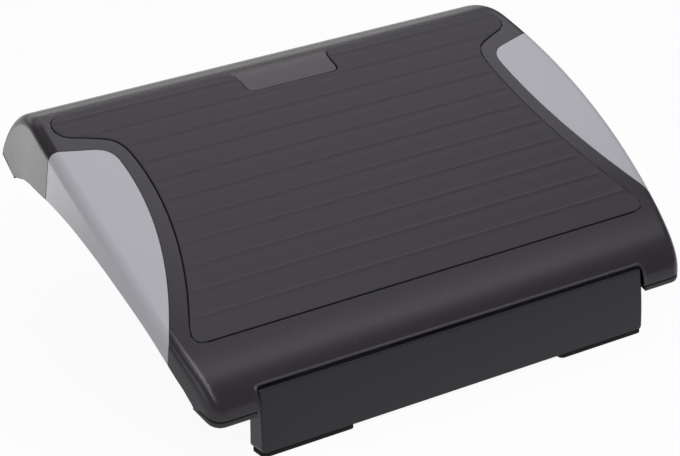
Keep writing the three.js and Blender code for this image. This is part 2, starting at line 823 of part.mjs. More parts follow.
function pivotBush(side) {
  const inner = axleRadius + gap;
  const outer = inner + bushWall;
  const profile = [
    [inner, bushStart],
    [bushFlangeRadius, bushStart],
    [bushFlangeRadius, bushStart + bushFlange],
    [outer, bushStart + bushFlange],
    [outer, lugEnd],
    [inner, lugEnd],
    [inner, bushStart],
  ];
  return toSolid(revolved(mirroredProfile(profile, side), 'across'));
}

function thrustWasher(side) {
  const profile = ring(axleRadius + gap, washerRadius, washerStart, washerStart + washerThickness);
  return toSolid(revolved(mirroredProfile(profile, side), 'across'));
}

function axleClip(side) {
  const inner = axleRadius - axleGrooveDepth + gap;
  const profile = ring(inner, clipRadius, clipStart, clipStart + clipThickness);
  return toSolid(revolved(mirroredProfile(profile, side), 'across'));
}

function pivotAxle() {
  const core = axleRadius - axleGrooveDepth;
  const right = [
    [axleRadius, clipStart - gap],
    [core, clipStart - gap],
    [core, clipStart + clipThickness + gap],
    [axleRadius, clipStart + clipThickness + gap],
    [axleRadius, axleHalf - axleChamfer],
    [axleRadius - axleChamfer, axleHalf],
    [0, axleHalf],
  ];
  const left = right.map(([radius, place]) => [radius, -place]).reverse();
  return toSolid(revolved([...left, ...right], 'across'));
}

// A box turned about the axle, given as (along, up) pairs seen from the tilted platform
function turnedBlock(across, along, up, degrees) {
  const size = [across, along, up].map(([low, high]) => high - low);
  const geometry = new THREE.BoxGeometry(...size);
  geometry.translate((across[0] + across[1]) / 2, (along[0] + along[1]) / 2, (up[0] + up[1]) / 2);
  geometry.rotateX(THREE.MathUtils.degToRad(degrees));
  return toSolid(geometry);
}

// The pad's box, square to the bracket's flange when that rests on it
function padPlace(end) {
  const along = [end * padAt, end * (padAt + padLength)].sort((a, b) => a - b);
  const top = flangeAbovePivot - gap;
  const degrees = end < 0 ? restTilt : restTilt - tiltTravel;
  return { along, up: [top - padHeight, top], degrees };
}

function padAcross(side) {
  const middle = side * (towerInner + towerThickness / 2);
  return [middle - padWidth / 2, middle + padWidth / 2];
}

function stopPad(side, end) {
  const { along, up, degrees } = padPlace(end);
  return turnedBlock(padAcross(side), along, up, degrees);
}

// Pivot tower, drawn about the axle: a rimmed web with a hub, two shoulders and a screwed foot
function pivotTower(side) {
  const across = (low, high) => [side * low, side * high].sort((a, b) => a - b);
  const footDown = towerFootTop - pivotHeight;
  const outline = [
    [-towerFootHalf + towerRimWidth, footDown - weld],
    [towerFootHalf - towerRimWidth, footDown - weld],
    [towerWaistHalf, -towerWaistDrop],
    [towerHeadHalf, 0],
    [-towerHeadHalf, 0],
    [-towerWaistHalf, -towerWaistDrop],
  ];
  const points = outline.map(([x, y]) => new THREE.Vector2(x, y));
  const web = sidePrism(shapeOf(outline), ...across(towerInner, towerOuter));
  const pocketShape = new THREE.Shape(offsetOutline(points, -towerRimWidth));
  const pocket = sidePrism(pocketShape, ...across(towerInner - overrun, towerInner + towerRimDepth));
  const hub = toSolid(cylinder(hubRadius, ...across(towerInner, towerOuter), 'across'));
  const shoulders = [-1, 1].map((end) => {
    const { along, up, degrees } = padPlace(end);
    const seat = [along[0] - padSeat, along[1] + padSeat];
    const seatTop = up[0] + padPocket;
    return turnedBlock(across(towerInner, towerOuter), seat, [seatTop - shoulderDepth, seatTop], degrees);
  });
  const pockets = [-1, 1].map((end) => {
    const { along, up, degrees } = padPlace(end);
    const room = [along[0] - gap, along[1] + gap];
    const sides = across(towerInner - overrun, towerOuter + overrun);
    return turnedBlock(sides, room, [up[0] - gap, up[1]], degrees);
  });
  const footAcross = across(towerInner - towerFootWidth, towerOuter);
  const foot = block(footAcross, [-towerFootHalf, towerFootHalf], [footDown - towerFootThickness, footDown]);
  const through = across(towerInner - overrun, towerOuter + overrun);
  const bore = toSolid(cylinder(axleRadius + gap, ...through, 'across'));
  const window = placedCylinder(towerWindowRadius, ...through, 'across', [0, 0, -towerWindowDrop]);
  const screwHoles = towerScrewAt.map((along) => placedCylinder(
    screwRadius + gap,
    footDown - towerFootThickness - overrun,
    footDown + overrun,
    'up',
    [side * (towerInner - towerFootWidth / 2), along, 0],
  ));
  const body = joined([web.subtract(pocket), hub, ...shoulders, foot]);
  return [...pockets, bore, window, ...screwHoles].reduce((solid, cut) => solid.subtract(cut), body);
}

// Front beam: a convex channel, open at the back, with ribs and screw bosses
function beamSection(inset, back) {
  const shape = new THREE.Shape();
  const [front, top, bottom] = [beamFront + inset, beamTop - inset, beamBottom + inset];
  const edge = Math.max(beamEdgeRadius - inset, leastEdgeRadius);
  const topFront = front + beamTopSetback;
  shape.moveTo(back, bottom);
  shape.lineTo(front, bottom);
  const belly = lerp(bottom, top, beamBellyShare);
  shape.bezierCurveTo(front, belly, topFront - edge, top - edge * 2, topFront, top - edge);
  shape.quadraticCurveTo(topFront + edge / 4, top, topFront + edge, top);
  shape.lineTo(back, top);
  return shape;
}

// The beam's solid form moved in by an inset, and running back to a place
function beamForm(inset, back) {
  const half = beamHalfWidth - inset;
  const round = Math.max(beamCornerRadius - inset, leastEdgeRadius);
  const plan = roundedPlan([-half, half], [beamFront + inset, back], round, leastEdgeRadius);
  return sidePrism(beamSection(inset, back), -half, half).intersect(planPrism(plan, 0, beamTop + overrun));
}

function frontBeam() {
  const hollow = beamForm(beamWall, beamBack + overrun);
  const inside = beamForm(beamWall - weld, beamBack);
  const ribs = [];
  const count = Math.floor(beamHalfWidth / beamRibPitch);
  for (let place = -count; place <= count; place += 1) {
    const middle = place * beamRibPitch;
    const across = [middle - beamRibThickness / 2, middle + beamRibThickness / 2];
    ribs.push(block(across, [beamFront, beamBack], [beamBottom, beamTop]));
  }
  const bosses = beamScrewPlaces.map((across) => (
    placedCylinder(screwBossRadius, beamFront, beamBack, 'along', [across, 0, beamScrewHeight])
  ));
  const holeAlong = [beamBack - screwHoleDepth, beamBack + overrun];
  const holes = beamScrewPlaces.map((across) => (
    placedCylinder(screwRadius + gap, ...holeAlong, 'along', [across, 0, beamScrewHeight])
  ));
  const shell = beamForm(0, beamBack).subtract(hollow);
  const body = shell.add(joined([...ribs, ...bosses]).intersect(inside));
  return holes.reduce((solid, hole) => solid.subtract(hole), body);
}

// Base frame
function frameHalfAt(along) {
  return lerp(frameFrontHalf, frameRearHalf, (along - frameFront) / (frameRear - frameFront));
}

function framePlan(inset) {
  const corners = [
    [-frameFrontHalf, frameFront, frameFrontRadius],
    [frameFrontHalf, frameFront, frameFrontRadius],
    [frameRearHalf, frameRear, frameRearRadius],
    [-frameRearHalf, frameRear, frameRearRadius],
  ];
  const points = corners.flatMap(([across, along, radius], place) => {
    const corner = new THREE.Vector2(across, along);
    const before = new THREE.Vector2(...corners[(place + 3) % 4]);
    const after = new THREE.Vector2(...corners[(place + 1) % 4]);
    const start = corner.clone().add(before.sub(corner).setLength(radius));
    const end = corner.clone().add(after.sub(corner).setLength(radius));
    return new THREE.QuadraticBezierCurve(start, corner, end).getPoints(outlineSteps / 2);
  });
  return new THREE.Shape(offsetOutline(points, -inset));
}

function frameCellBlocks() {
  const [acrossCells, alongCells] = frameCells;
  const acrossPitch = frameFrontHalf * 2 / acrossCells;
  const alongPitch = (frameRear - frameFront) / alongCells;
  const cells = [];
  for (let row = 0; row < alongCells; row += 1) {
    for (let column = 0; column < acrossCells; column += 1) {
      const left = -frameFrontHalf + column * acrossPitch;
      const front = frameFront + row * alongPitch;
      const across = [left + frameRib / 2, left + acrossPitch - frameRib / 2];
      const along = [front + frameRib / 2, front + alongPitch - frameRib / 2];
      cells.push(block(across, along, [beamBottom - overrun, frameTop - framePlate]));
    }
  }
  return joined(cells);
}

function rearFootAcross(side) {
  const outer = frameHalfAt(frameRear) - rearFootInset;
  return [side * (outer - rearFootLength), side * outer].sort((a, b) => a - b);
}

function rearFootAlong() {
  return [frameRear - rearFootInset - rearFootDepth, frameRear - rearFootInset];
}

function towerScrewPlaces() {
  const across = towerInner - towerFootWidth / 2;
  return [-1, 1].flatMap((side) => towerScrewAt.map((along) => [side * across, pivotBehindFront + along]));
}

function baseFrame() {
  const slab = planPrism(framePlan(0), beamBottom, frameTop);
  const room = planPrism(framePlan(frameSkirt), beamBottom - overrun, frameTop - framePlate);
  const footPads = [-1, 1].map((side) => (
    block(rearFootAcross(side), rearFootAlong(), [beamBottom, beamBottom + footPadThickness])
  ));
  const bosses = towerScrewPlaces().map(([across, along]) => (
    placedCylinder(screwBossRadius, beamBottom + weld, frameTop - weld, 'up', [across, along, 0])
  ));
  const holeUp = [frameTop - screwHoleDepth, frameTop + overrun];
  const holes = towerScrewPlaces().map(([across, along]) => (
    placedCylinder(screwRadius + gap, ...holeUp, 'up', [across, along, 0])
  ));
  const skirtHoles = beamScrewPlaces.map((across) => placedCylinder(
    screwRadius + gap,
    frameFront - overrun,
    frameFront + frameSkirt + overrun,
    'along',
    [across, 0, beamScrewHeight],
  ));
  const headRoom = beamScrewPlaces.map((across) => placedCylinder(
    screwHeadRadius + gap,
    frameFront + frameSkirt,
    frameFront + frameSkirt + screwHeadHeight + gap * 2,
    'along',
    [across, 0, beamScrewHeight],
  ));
  const body = joined([slab.subtract(frameCellBlocks().intersect(room)), ...footPads, ...bosses]);
  return [...holes, ...skirtHoles, ...headRoom].reduce((solid, hole) => solid.subtract(hole), body);
}

function footPlate(across, along) {
  const plan = roundedPlan(across, along, footCornerRadius, footCornerRadius);
  return planPrism(plan, 0, footHeight, footCornerSteps);
}

function frontFoot(side) {
  const across = [side * (beamHalfWidth - frontFootLength), side * beamHalfWidth].sort((a, b) => a - b);
  return footPlate(across, [beamFront, beamBack]);
}

// Pan-head screw with a recessed drive, pointing along its axis from the head's underside at 0
function screw(direction, sense) {
  const profile = [
    [0, screwLength],
    [screwRadius, screwLength - screwRadius],
    [screwRadius, 0],
    [screwHeadRadius, 0],
    [screwHeadRadius, -screwHeadHeight / 2],
    [screwHeadRadius * screwCrownShare, -screwHeadHeight],
    [recessRadius, -screwHeadHeight],
    [recessRadius, recessDepth - screwHeadHeight],
    [0, recessDepth - screwHeadHeight],
  ];
  const pointed = profile.map(([radius, place]) => [radius, place * sense]);
  return revolved(sense > 0 ? pointed.reverse() : pointed, direction, roundSteps / 2);
}

function named(name, solid, finish, place = [0, 0, 0]) {
  const geometry = solid.isBufferGeometry ? solid : toGeometry(solid);
  const mesh = new THREE.Mesh(geometry, new THREE.MeshStandardMaterial(finish));
  mesh.name = name;
  mesh.position.set(...place);
  return mesh;
}

const sides = [['left', -1], ['right', 1]];
const ends = [['front', -1], ['rear', 1]];

// The platform and what rides on it, drawn flat and hung on the axle
function platformPieces() {
  const pieces = [
    named('top_shell', topShell(), finishes.shell),
    named('rubber_mat', rubberMat(), finishes.mat),
  ];
  for (const [word, side] of sides) {
    pieces.push(named(`${word}_side_panel`, sidePanel(side), finishes.panel));
    for (const [endWord, end] of ends) {
      pieces.push(named(`${endWord}_lip_strip_${word}`, lipStrip(side, end), finishes.strip));
    }
    const hung = [0, pivotAlong, pivotUp];
    pieces.push(named(`rocker_bracket_${word}`, rockerBracket(side), finishes.bracket, hung));
    pieces.push(named(`pivot_bush_${word}`, pivotBush(side), finishes.nylon, hung));
  }
  bracketScrewPlaces().forEach(([across, along], place) => {
    const seat = [across, along, flangeBottom - gap];
    pieces.push(named(`bracket_screw_${place + 1}`, screw('up', 1), finishes.steel, seat));
  });
  return pieces;
}

// The pieces about the axle that stay with the base
function axlePieces() {
  const pieces = [named('pivot_axle', pivotAxle(), finishes.steel)];
  for (const [word, side] of sides) {
    pieces.push(named(`pivot_tower_${word}`, pivotTower(side), finishes.bracket));
    pieces.push(named(`thrust_washer_${word}`, thrustWasher(side), finishes.nylon));
    pieces.push(named(`axle_clip_${word}`, axleClip(side), finishes.steel));
    for (const [endWord, end] of ends) {
      pieces.push(named(`${endWord}_stop_pad_${word}`, stopPad(side, end), finishes.rubber));
    }
  }
  return pieces;
}

function basePieces() {
  const pieces = [
    named('base_front_beam', frontBeam(), finishes.base),
    named('base_frame', baseFrame(), finishes.base),
  ];
  for (const [word, side] of sides) {
    pieces.push(named(`front_foot_${word}`, frontFoot(side), finishes.rubber));
    const rearFoot = footPlate(rearFootAcross(side), rearFootAlong());
    pieces.push(named(`rear_foot_${word}`, rearFoot, finishes.rubber));
  }
  towerScrewPlaces().forEach(([across, along], place) => {
    const seat = [across, along, towerFootTop + gap];
    pieces.push(named(`tower_screw_${place + 1}`, screw('up', -1), finishes.steel, seat));
  });
  beamScrewPlaces.forEach((across, place) => {
    const seat = [across, frameFront + frameSkirt + gap, beamScrewHeight];
    pieces.push(named(`beam_screw_${place + 1}`, screw('along', -1), finishes.steel, seat));
  });
  return pieces;
}

function footrest() {
  const platform = new THREE.Group();
  platform.add(...platformPieces());
  platform.position.set(0, -pivotAlong, -pivotUp);
  const rocker = new THREE.Group();
  rocker.add(platform);
  rocker.rotation.x = THREE.MathUtils.degToRad(restTilt);
  const axleLine = new THREE.Group();
  axleLine.add(rocker, ...axlePieces());
  axleLine.position.set(0, pivotBehindFront, pivotHeight);
  const whole = new THREE.Group();
  whole.add(axleLine, ...basePieces());
  whole.updateMatrixWorld(true);
  const middle = new THREE.Box3().setFromObject(whole, true).getCenter(new THREE.Vector3());
  whole.position.y = -middle.y;
  return whole;
}

export default footrest();
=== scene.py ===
"""Looks of the tilting under desk footrest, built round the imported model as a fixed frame."""
import json
import math

import bmesh
import bpy
import numpy as np
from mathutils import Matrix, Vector
from mathutils.geometry import delaunay_2d_cdt
from mathutils.kdtree import KDTree


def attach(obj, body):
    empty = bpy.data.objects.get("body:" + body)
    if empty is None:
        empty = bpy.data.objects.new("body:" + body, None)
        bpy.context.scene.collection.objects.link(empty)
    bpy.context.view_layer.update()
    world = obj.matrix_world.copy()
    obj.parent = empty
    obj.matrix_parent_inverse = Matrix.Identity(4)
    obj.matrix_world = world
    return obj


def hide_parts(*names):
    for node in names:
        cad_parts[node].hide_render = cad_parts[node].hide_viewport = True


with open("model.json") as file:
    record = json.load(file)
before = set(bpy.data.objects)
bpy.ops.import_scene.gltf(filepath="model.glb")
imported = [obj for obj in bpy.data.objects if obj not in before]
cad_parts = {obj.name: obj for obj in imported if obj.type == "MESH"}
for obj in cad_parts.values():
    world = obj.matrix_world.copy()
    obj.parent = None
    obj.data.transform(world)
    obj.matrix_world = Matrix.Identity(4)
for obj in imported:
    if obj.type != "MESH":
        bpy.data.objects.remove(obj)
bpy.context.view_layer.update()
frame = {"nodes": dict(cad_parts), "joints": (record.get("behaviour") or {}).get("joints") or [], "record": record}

MM = 0.001
PIVOT = Vector(frame["joints"][0]["pos_m"]) / MM

# Platform section in millimetres, as (along, up), drawn flat, in the solids' own named sizes
REST_TILT = math.radians(18.7)
TILT_COS, TILT_SIN = math.cos(REST_TILT), math.sin(REST_TILT)
PIVOT_ALONG = 24
PIVOT_UP = 26
HALF_WIDTH = 244.75
SIDE_BOW_RADIUS = 960
WALL_FLARE = 0.03
NOSE_REACH = 161
TAIL_REACH = 192.3
CROWN_RADIUS = 800
CROWN_AT = 125
CROWN_HEIGHT = 67.5
NOSE_BLEND_AT = -108
NOSE_FOOT_UP = -2
NOSE_LEAN = 5
NOSE_RISE = 17
NOSE_PULL = 34
TAIL_BLEND_AT = 128
TAIL_PULL = 36
TAIL_FOOT_UP = -8
TAIL_LEAN = 1.5
TAIL_RISE = 34
WALL_FOOT_UP = -12
SHELL_WALL = 4.2
NOSE_EDGE = 14
FRONT_EDGE = 9
REAR_EDGE = 9
TAIL_EDGE = 12

# Lower edge of the side walls, and the notch in the front lip
LIP_FOOT_UP = -2.8
FRONT_LIP_LENGTH = 23.5
REAR_LIP_LENGTH = 39
SEAT_UP = 1.1
ARCH_HEIGHT = 37.6
ARCH_SHARES = [
    (0, 0), (0.04, 0.21), (0.135, 0.48), (0.236, 0.726), (0.347, 0.89), (0.47, 0.99),
    (0.61, 0.985), (0.733, 0.85), (0.833, 0.65), (0.915, 0.44), (0.962, 0.2), (1, 0),
]
NOTCH_HALF = 189.5
NOTCH_TOP = 15.7
NOTCH_CORNER = 3

# Mat, the groove round it and its ribs
MAT_RISE = 0.8
MAT_THICKNESS = 2.8
MAT_GROOVE = 1.0
RECESS = 2.3
MAT_FRONT = -107.3
MAT_REAR = 137.5
MAT_FRONT_HALF = 228
MAT_CORNER = 19
MAT_WAIST_HALF = 177.3
MAT_WAIST_AT = 65
MAT_BEND_PULLS = (34, 30)
MAT_LOBE = (215, 108.5)
MAT_LOBE_SLOPE = 0.42
MAT_LOBE_PULL = 14
MAT_LOBE_HALF = 226
MAT_LOBE_END = 207
TAB_HALF = 44.5
TAB_FRONT = 109.7
TAB_CORNER = 6.3
TAB_FLARE_AT = 123
TAB_FLARE = 9.5
TAB_FADE_END = 148
TAB_PAINT_END = 154
RIB_PITCH = 21.4
RIB_COUNT = 11
RIB_REARMOST = 128.3
RIB_HEIGHT = 0.6
RIB_FRONT = 3.4
RIB_BACK = 1.6
SWELL_HEIGHT = 0.2
SWELL_BEHIND = 11.5
SWELL_HALF = 6.5
RIB_MARGIN = 0.9
RIB_FADE = 1.6
MAT_COLUMN = 8

# Side panels
PANEL_THICKNESS = 2
PANEL_SEAM = 0.35
PANEL_WAIST_HALF = 189.2
PANEL_WAIST_AT = 70
PANEL_SEAM_HALF = 235
PANEL_FRONT = -89.5
PANEL_REAR = 98.6
PANEL_LEAN = 0.22
PANEL_BEND_AT = (205, 90.8)
PANEL_BEND_PULLS = (12, 11)

# Front beam and its feet, in the world's millimetres
BEAM_HALF = 188.5
BEAM_FRONT = -167.967
BEAM_BACK = -150.467
BEAM_BOTTOM = 3.3
BEAM_TOP = 56.2
BEAM_SETBACK = 4.7
BEAM_TOP_ROUND = 1.2
BEAM_CORNER = 2
BEAM_LOWER_CORNER = 2.5
BEAM_EDGE = 0.8
BEAM_WALL = 3.2
BEAM_SLAB = 2.9
BEAM_OPEN_BEHIND = 6
FOOT_SHORTER = 0.6
FOOT_END_FROM = 184

# Small roundings, and the raised bead along the notch
SEAM_ROUND = 0.35
MAT_ROUND = 0.6
LIP_ROUND = 0.6
NOTCH_ROUND = 0.6
RING_SHARES = (0.15, 0.45, 1)
BEAD_HEIGHT = 0.7
BEAD_AT = 0.9
BEAD_END = 2.6
BEAD_RINGS = (0.9, 1.3, 1.7, 2.1, 2.6)

# Shell walls inward of the edges and beside the beam, and the slab that frees the ribs from them
INNER_STEP = 8
INNER_WALL = 5.2
CHEEK_WALL = 10
SLAB_OUTSIDE = 3
SLAB_DEPTH = 4.9
LEAST_FORM = 4

# Rear end of the strips under the front corners
STRIP_TOP = -0.2
STRIP_BOTTOM = -4.0
STRIP_MOVED_FROM = -143
STRIP_TOP_END = (-135.8, -0.2)
STRIP_BOTTOM_END = (-135.2, -2.8)

# Spacing and counts of points, and how near is the same
FINE = 2
WIDE = 8
SAME_POINT = 0.05
TOUCHING = 0.01
SECTION_STEPS = 400
CROWN_STEPS = 900
WALL_STEPS = 260
MAT_SIDE_STEPS = 80
EDGE_COLUMNS = 11
WALL_COLUMN = 2.5


# Section of the platform as tables over its length, measured along the surface
def crown_up(along):
    return CROWN_HEIGHT - CROWN_RADIUS + np.sqrt(CROWN_RADIUS ** 2 - (along - CROWN_AT) ** 2)


def crown_slope(along):
    return (CROWN_AT - along) / math.sqrt(CROWN_RADIUS ** 2 - (along - CROWN_AT) ** 2)


def bezier(points, steps):
    share = np.linspace(0, 1, steps)[:, None]
    a, b, c, d = (np.array(point, float) for point in points)
    rest = 1 - share
    return rest ** 3 * a + 3 * rest ** 2 * share * b + 3 * rest * share ** 2 * c + share ** 3 * d


def quadratic(points, steps):
    share = np.linspace(0, 1, steps)[:, None]
    a, b, c = (np.array(point, float) for point in points)
    return (1 - share) ** 2 * a + 2 * (1 - share) * share * b + share ** 2 * c


def section_curves():
    nose_top, tail_top = crown_up(NOSE_BLEND_AT), crown_up(TAIL_BLEND_AT)
    nose = bezier([
        (-NOSE_REACH, NOSE_FOOT_UP),
        (-NOSE_REACH + NOSE_LEAN, NOSE_FOOT_UP + NOSE_RISE),
        (NOSE_BLEND_AT - NOSE_PULL, nose_top - NOSE_PULL * crown_slope(NOSE_BLEND_AT)),
        (NOSE_BLEND_AT, nose_top),
    ], SECTION_STEPS)
    angles = np.linspace(
        math.acos((NOSE_BLEND_AT - CROWN_AT) / CROWN_RADIUS),
        math.acos((TAIL_BLEND_AT - CROWN_AT) / CROWN_RADIUS),
        CROWN_STEPS,
    )
    crown = np.stack([
        CROWN_AT + CROWN_RADIUS * np.cos(angles),
        CROWN_HEIGHT - CROWN_RADIUS + CROWN_RADIUS * np.sin(angles),
    ], 1)
    tail = bezier([
        (TAIL_BLEND_AT, tail_top),
        (TAIL_BLEND_AT + TAIL_PULL, tail_top + TAIL_PULL * crown_slope(TAIL_BLEND_AT)),
        (TAIL_REACH - TAIL_LEAN, TAIL_FOOT_UP + TAIL_RISE),
        (TAIL_REACH, TAIL_FOOT_UP),
    ], SECTION_STEPS)
    return [
        (nose, NOSE_EDGE, FRONT_EDGE),
        (crown, FRONT_EDGE, REAR_EDGE),
        (tail, REAR_EDGE, TAIL_EDGE),
    ]


def half_at(along, up):
    bowed = HALF_WIDTH - SIDE_BOW_RADIUS + np.sqrt(SIDE_BOW_RADIUS ** 2 - along ** 2)
    return bowed + WALL_FLARE * (crown_up(along) - up)


class Section:
    """Point, inward direction and edge radius at each length along the platform's upper surface."""

    def __init__(self):
        points, radii = [], []
        for curve, first, last in section_curves():
            start = 1 if points else 0
            points.extend(curve[start:])
            radii.extend(np.linspace(first, last, len(curve))[start:])
        self.points = np.array(points)
        self.radii = np.array(radii)
        steps = np.linalg.norm(np.diff(self.points, axis=0), axis=1)
        self.length = np.concatenate([[0], np.cumsum(steps)])
        tangent = np.gradient(self.points, self.length, axis=0)
        tangent /= np.linalg.norm(tangent, axis=1)[:, None]
        self.inward = np.stack([tangent[:, 1], -tangent[:, 0]], 1)
        self.half = half_at(self.points[:, 0], self.points[:, 1])
        self.shoulder = self.points + self.inward * self.radii[:, None]
        foot_along = np.clip(self.points[:, 0], NOSE_BLEND_AT, TAIL_BLEND_AT)
        self.foot = np.stack([foot_along, np.full(len(foot_along), float(WALL_FOOT_UP))], 1)
        self.foot_half = half_at(self.foot[:, 0], self.foot[:, 1])
        self.wall = np.linalg.norm(self.foot - self.shoulder, axis=1)
        self.flat = self.half - self.radii
        self.edge_end = self.flat + self.radii * math.pi / 2

    def at(self, place, table):
        if table.ndim == 1:
            return np.interp(place, self.length, table)
        return np.stack([np.interp(place, self.length, column) for column in table.T], -1)

    def place_of(self, along):
        """Length along the surface at a place along the platform."""
        return np.interp(along, self.points[:, 0], self.length)


SECTION = Section()


def surface(across, place, depth):
    """Points as (across, along, up), from a place on the unrolled skin and a depth under it."""
    side = np.where(across < 0, -1.0, 1.0)
    reach = np.abs(across)
    point = SECTION.at(place, SECTION.points)
    inward = SECTION.at(place, SECTION.inward)
    radius = SECTION.at(place, SECTION.radii)
    half = SECTION.at(place, SECTION.half)
    flat = half - radius
    angle = np.clip((reach - flat) / radius, 0, math.pi / 2)
    arc = radius - depth
    on_flat = reach < flat
    out = np.where(on_flat, reach, flat + arc * np.sin(angle))
    sink = np.where(on_flat, depth, radius - arc * np.cos(angle))
    placed = point + inward * sink[:, None]
    down = np.clip(reach - flat - radius * math.pi / 2, 0, None)
    on_wall = down > 0
    shoulder = SECTION.at(place, SECTION.shoulder)
    foot = SECTION.at(place, SECTION.foot)
    share = down / SECTION.at(place, SECTION.wall)
    walled = shoulder + (foot - shoulder) * share[:, None]
    wall_out = half + (SECTION.at(place, SECTION.foot_half) - half) * share - depth
    out = np.where(on_wall, wall_out, out)
    placed = np.where(on_wall[:, None], walled, placed)
    return np.stack([side * out, placed[:, 0], placed[:, 1]], 1)


def wall_place(along, up):
    """Place on the unrolled skin of a point (along, up) of the side wall."""
    share = (SECTION.shoulder[:, 1] - up) / (SECTION.shoulder[:, 1] - WALL_FOOT_UP)
    line = SECTION.shoulder[:, 0] + (SECTION.foot[:, 0] - SECTION.shoulder[:, 0]) * share
    inner = (SECTION.points[:, 0] > NOSE_BLEND_AT) & (SECTION.points[:, 0] < TAIL_BLEND_AT)
    place = np.interp(along, line[inner], SECTION.length[inner])
    down = SECTION.at(place, share) * SECTION.at(place, SECTION.wall)
    return SECTION.at(place, SECTION.edge_end) + down, place


# Outlines on the unrolled skin, as (across, place)
def spline(points, steps):
    """A smooth curve through all the points."""
    points = np.array(points, float)
    out = []
    for index in range(len(points) - 1):
        before = points[max(index - 1, 0)]
        start, end = points[index], points[index + 1]
        after = points[min(index + 2, len(points) - 1)]
        for share in np.linspace(0, 1, steps, endpoint=False):
            first, last = (end - before) / 2, (after - start) / 2
            out.append(
                (2 * start - 2 * end + first + last) * share ** 3
                + (-3 * start + 3 * end - 2 * first - last) * share ** 2
                + first * share + start
            )
    out.append(points[-1])
    return np.array(out)


def lower_edge():
    """Lower edge of the side walls, as (along, up)."""
    front = -NOSE_REACH + FRONT_LIP_LENGTH
    rear = TAIL_REACH - REAR_LIP_LENGTH
    knots = [
        (front + (rear - front) * share, LIP_FOOT_UP + ARCH_HEIGHT * rise)
        for share, rise in ARCH_SHARES
    ]
    arch = spline(knots, steps=8)
    seated = arch[:, 0] < 0
    arch[seated, 1] = np.maximum(arch[seated, 1], SEAT_UP)
    beyond = 30
    return np.vstack([(-NOSE_REACH - beyond, SEAT_UP), arch, (TAIL_REACH + beyond, LIP_FOOT_UP)])


LOWER = lower_edge()


def wall_end(place):
    """How far the skin reaches round the side at a place, down to the lower edge."""
    flat = SECTION.at(place, SECTION.flat)
    foot = SECTION.at(place, SECTION.edge_end) + SECTION.at(place, SECTION.wall)
    ends = []
    for one, low, high in zip(place, flat, foot):
        reach = np.linspace(low, high, WALL_STEPS)
        points = surface(reach, np.full(WALL_STEPS, one), 0)
        clear = points[:, 2] - np.interp(points[:, 1], LOWER[:, 0], LOWER[:, 1])
        under = np.nonzero(clear < 0)[0]
        if len(under) == 0:
            ends.append(high)
        elif under[0] == 0:
            ends.append(low)
        else:
            last, first = under[0] - 1, under[0]
            share = clear[last] / (clear[last] - clear[first])
            ends.append(reach[last] + (reach[first] - reach[last]) * share)
    return np.array(ends)


def respaced(points, spacing):
    """The same open line with points at about an even spacing."""
    points = np.array(points, float)
    steps = np.linalg.norm(np.diff(points, axis=0), axis=1)
    length = np.concatenate([[0], np.cumsum(steps)])
    count = max(int(length[-1] / spacing), 2) + 1
    at = np.linspace(0, length[-1], count)
    return np.stack([np.interp(at, length, points[:, column]) for column in (0, 1)], 1)


def mirrored(right):
    """A closed outline from its right half, which starts and ends on the middle line."""
    left = right[::-1] * [-1, 1]
    return tidy_loop(np.vstack([right, left]))


def tidy_loop(points):
    """A closed outline without points that lie on top of each other."""
    keep = [points[0]]
    for point in points[1:]:
        if np.linalg.norm(point - keep[-1]) > SAME_POINT:
            keep.append(point)
    if np.linalg.norm(keep[0] - keep[-1]) < SAME_POINT:
        keep.pop()
    return np.array(keep)


def edge_height_place(up, front):
    """Length along the surface where the section is at a height, on the nose or on the tail."""
    half = len(SECTION.length) // 2
    part = slice(0, half) if front else slice(half, None)
    heights, lengths = SECTION.points[part, 1], SECTION.length[part]
    order = np.argsort(heights)
    return np.interp(up, heights[order], lengths[order])


FRONT_END = edge_height_place(SEAT_UP, True)
REAR_END = edge_height_place(LIP_FOOT_UP, False)
NOTCH_END = edge_height_place(NOTCH_TOP, True)
NOTCH_ARC = quadratic([
    (NOTCH_HALF - NOTCH_CORNER, NOTCH_END),
    (NOTCH_HALF, NOTCH_END),
    (NOTCH_HALF, NOTCH_END - NOTCH_CORNER),
], steps=6)


def skin_outline():
    """The skin's whole edge: front lip and notch, the side walls' lower edges, rear lip."""
    near_ends, end_steps, steps = 12, 60, 400
    places = np.concatenate([
        np.linspace(FRONT_END, FRONT_END + near_ends, end_steps),
        np.linspace(FRONT_END + near_ends, REAR_END - near_ends, steps)[1:-1],
        np.linspace(REAR_END - near_ends, REAR_END, end_steps),
    ])
    side = respaced(np.stack([wall_end(places), places], 1), FINE)
    top = respaced([(0, NOTCH_END), NOTCH_ARC[0]], WIDE)
    down = respaced([NOTCH_ARC[-1], (NOTCH_HALF, FRONT_END)], FINE)
    lip = respaced([(NOTCH_HALF, FRONT_END), side[0]], FINE * 2)
    back = respaced([side[-1], (0, REAR_END)], WIDE)
    return mirrored(np.vstack([top, NOTCH_ARC, down, lip, side, back]))


def notch_line():
    """The part of the outline that runs round the notch."""
    right = np.vstack([(0, NOTCH_END), NOTCH_ARC, (NOTCH_HALF, FRONT_END)])
    return np.vstack([(right * [-1, 1])[::-1], right])


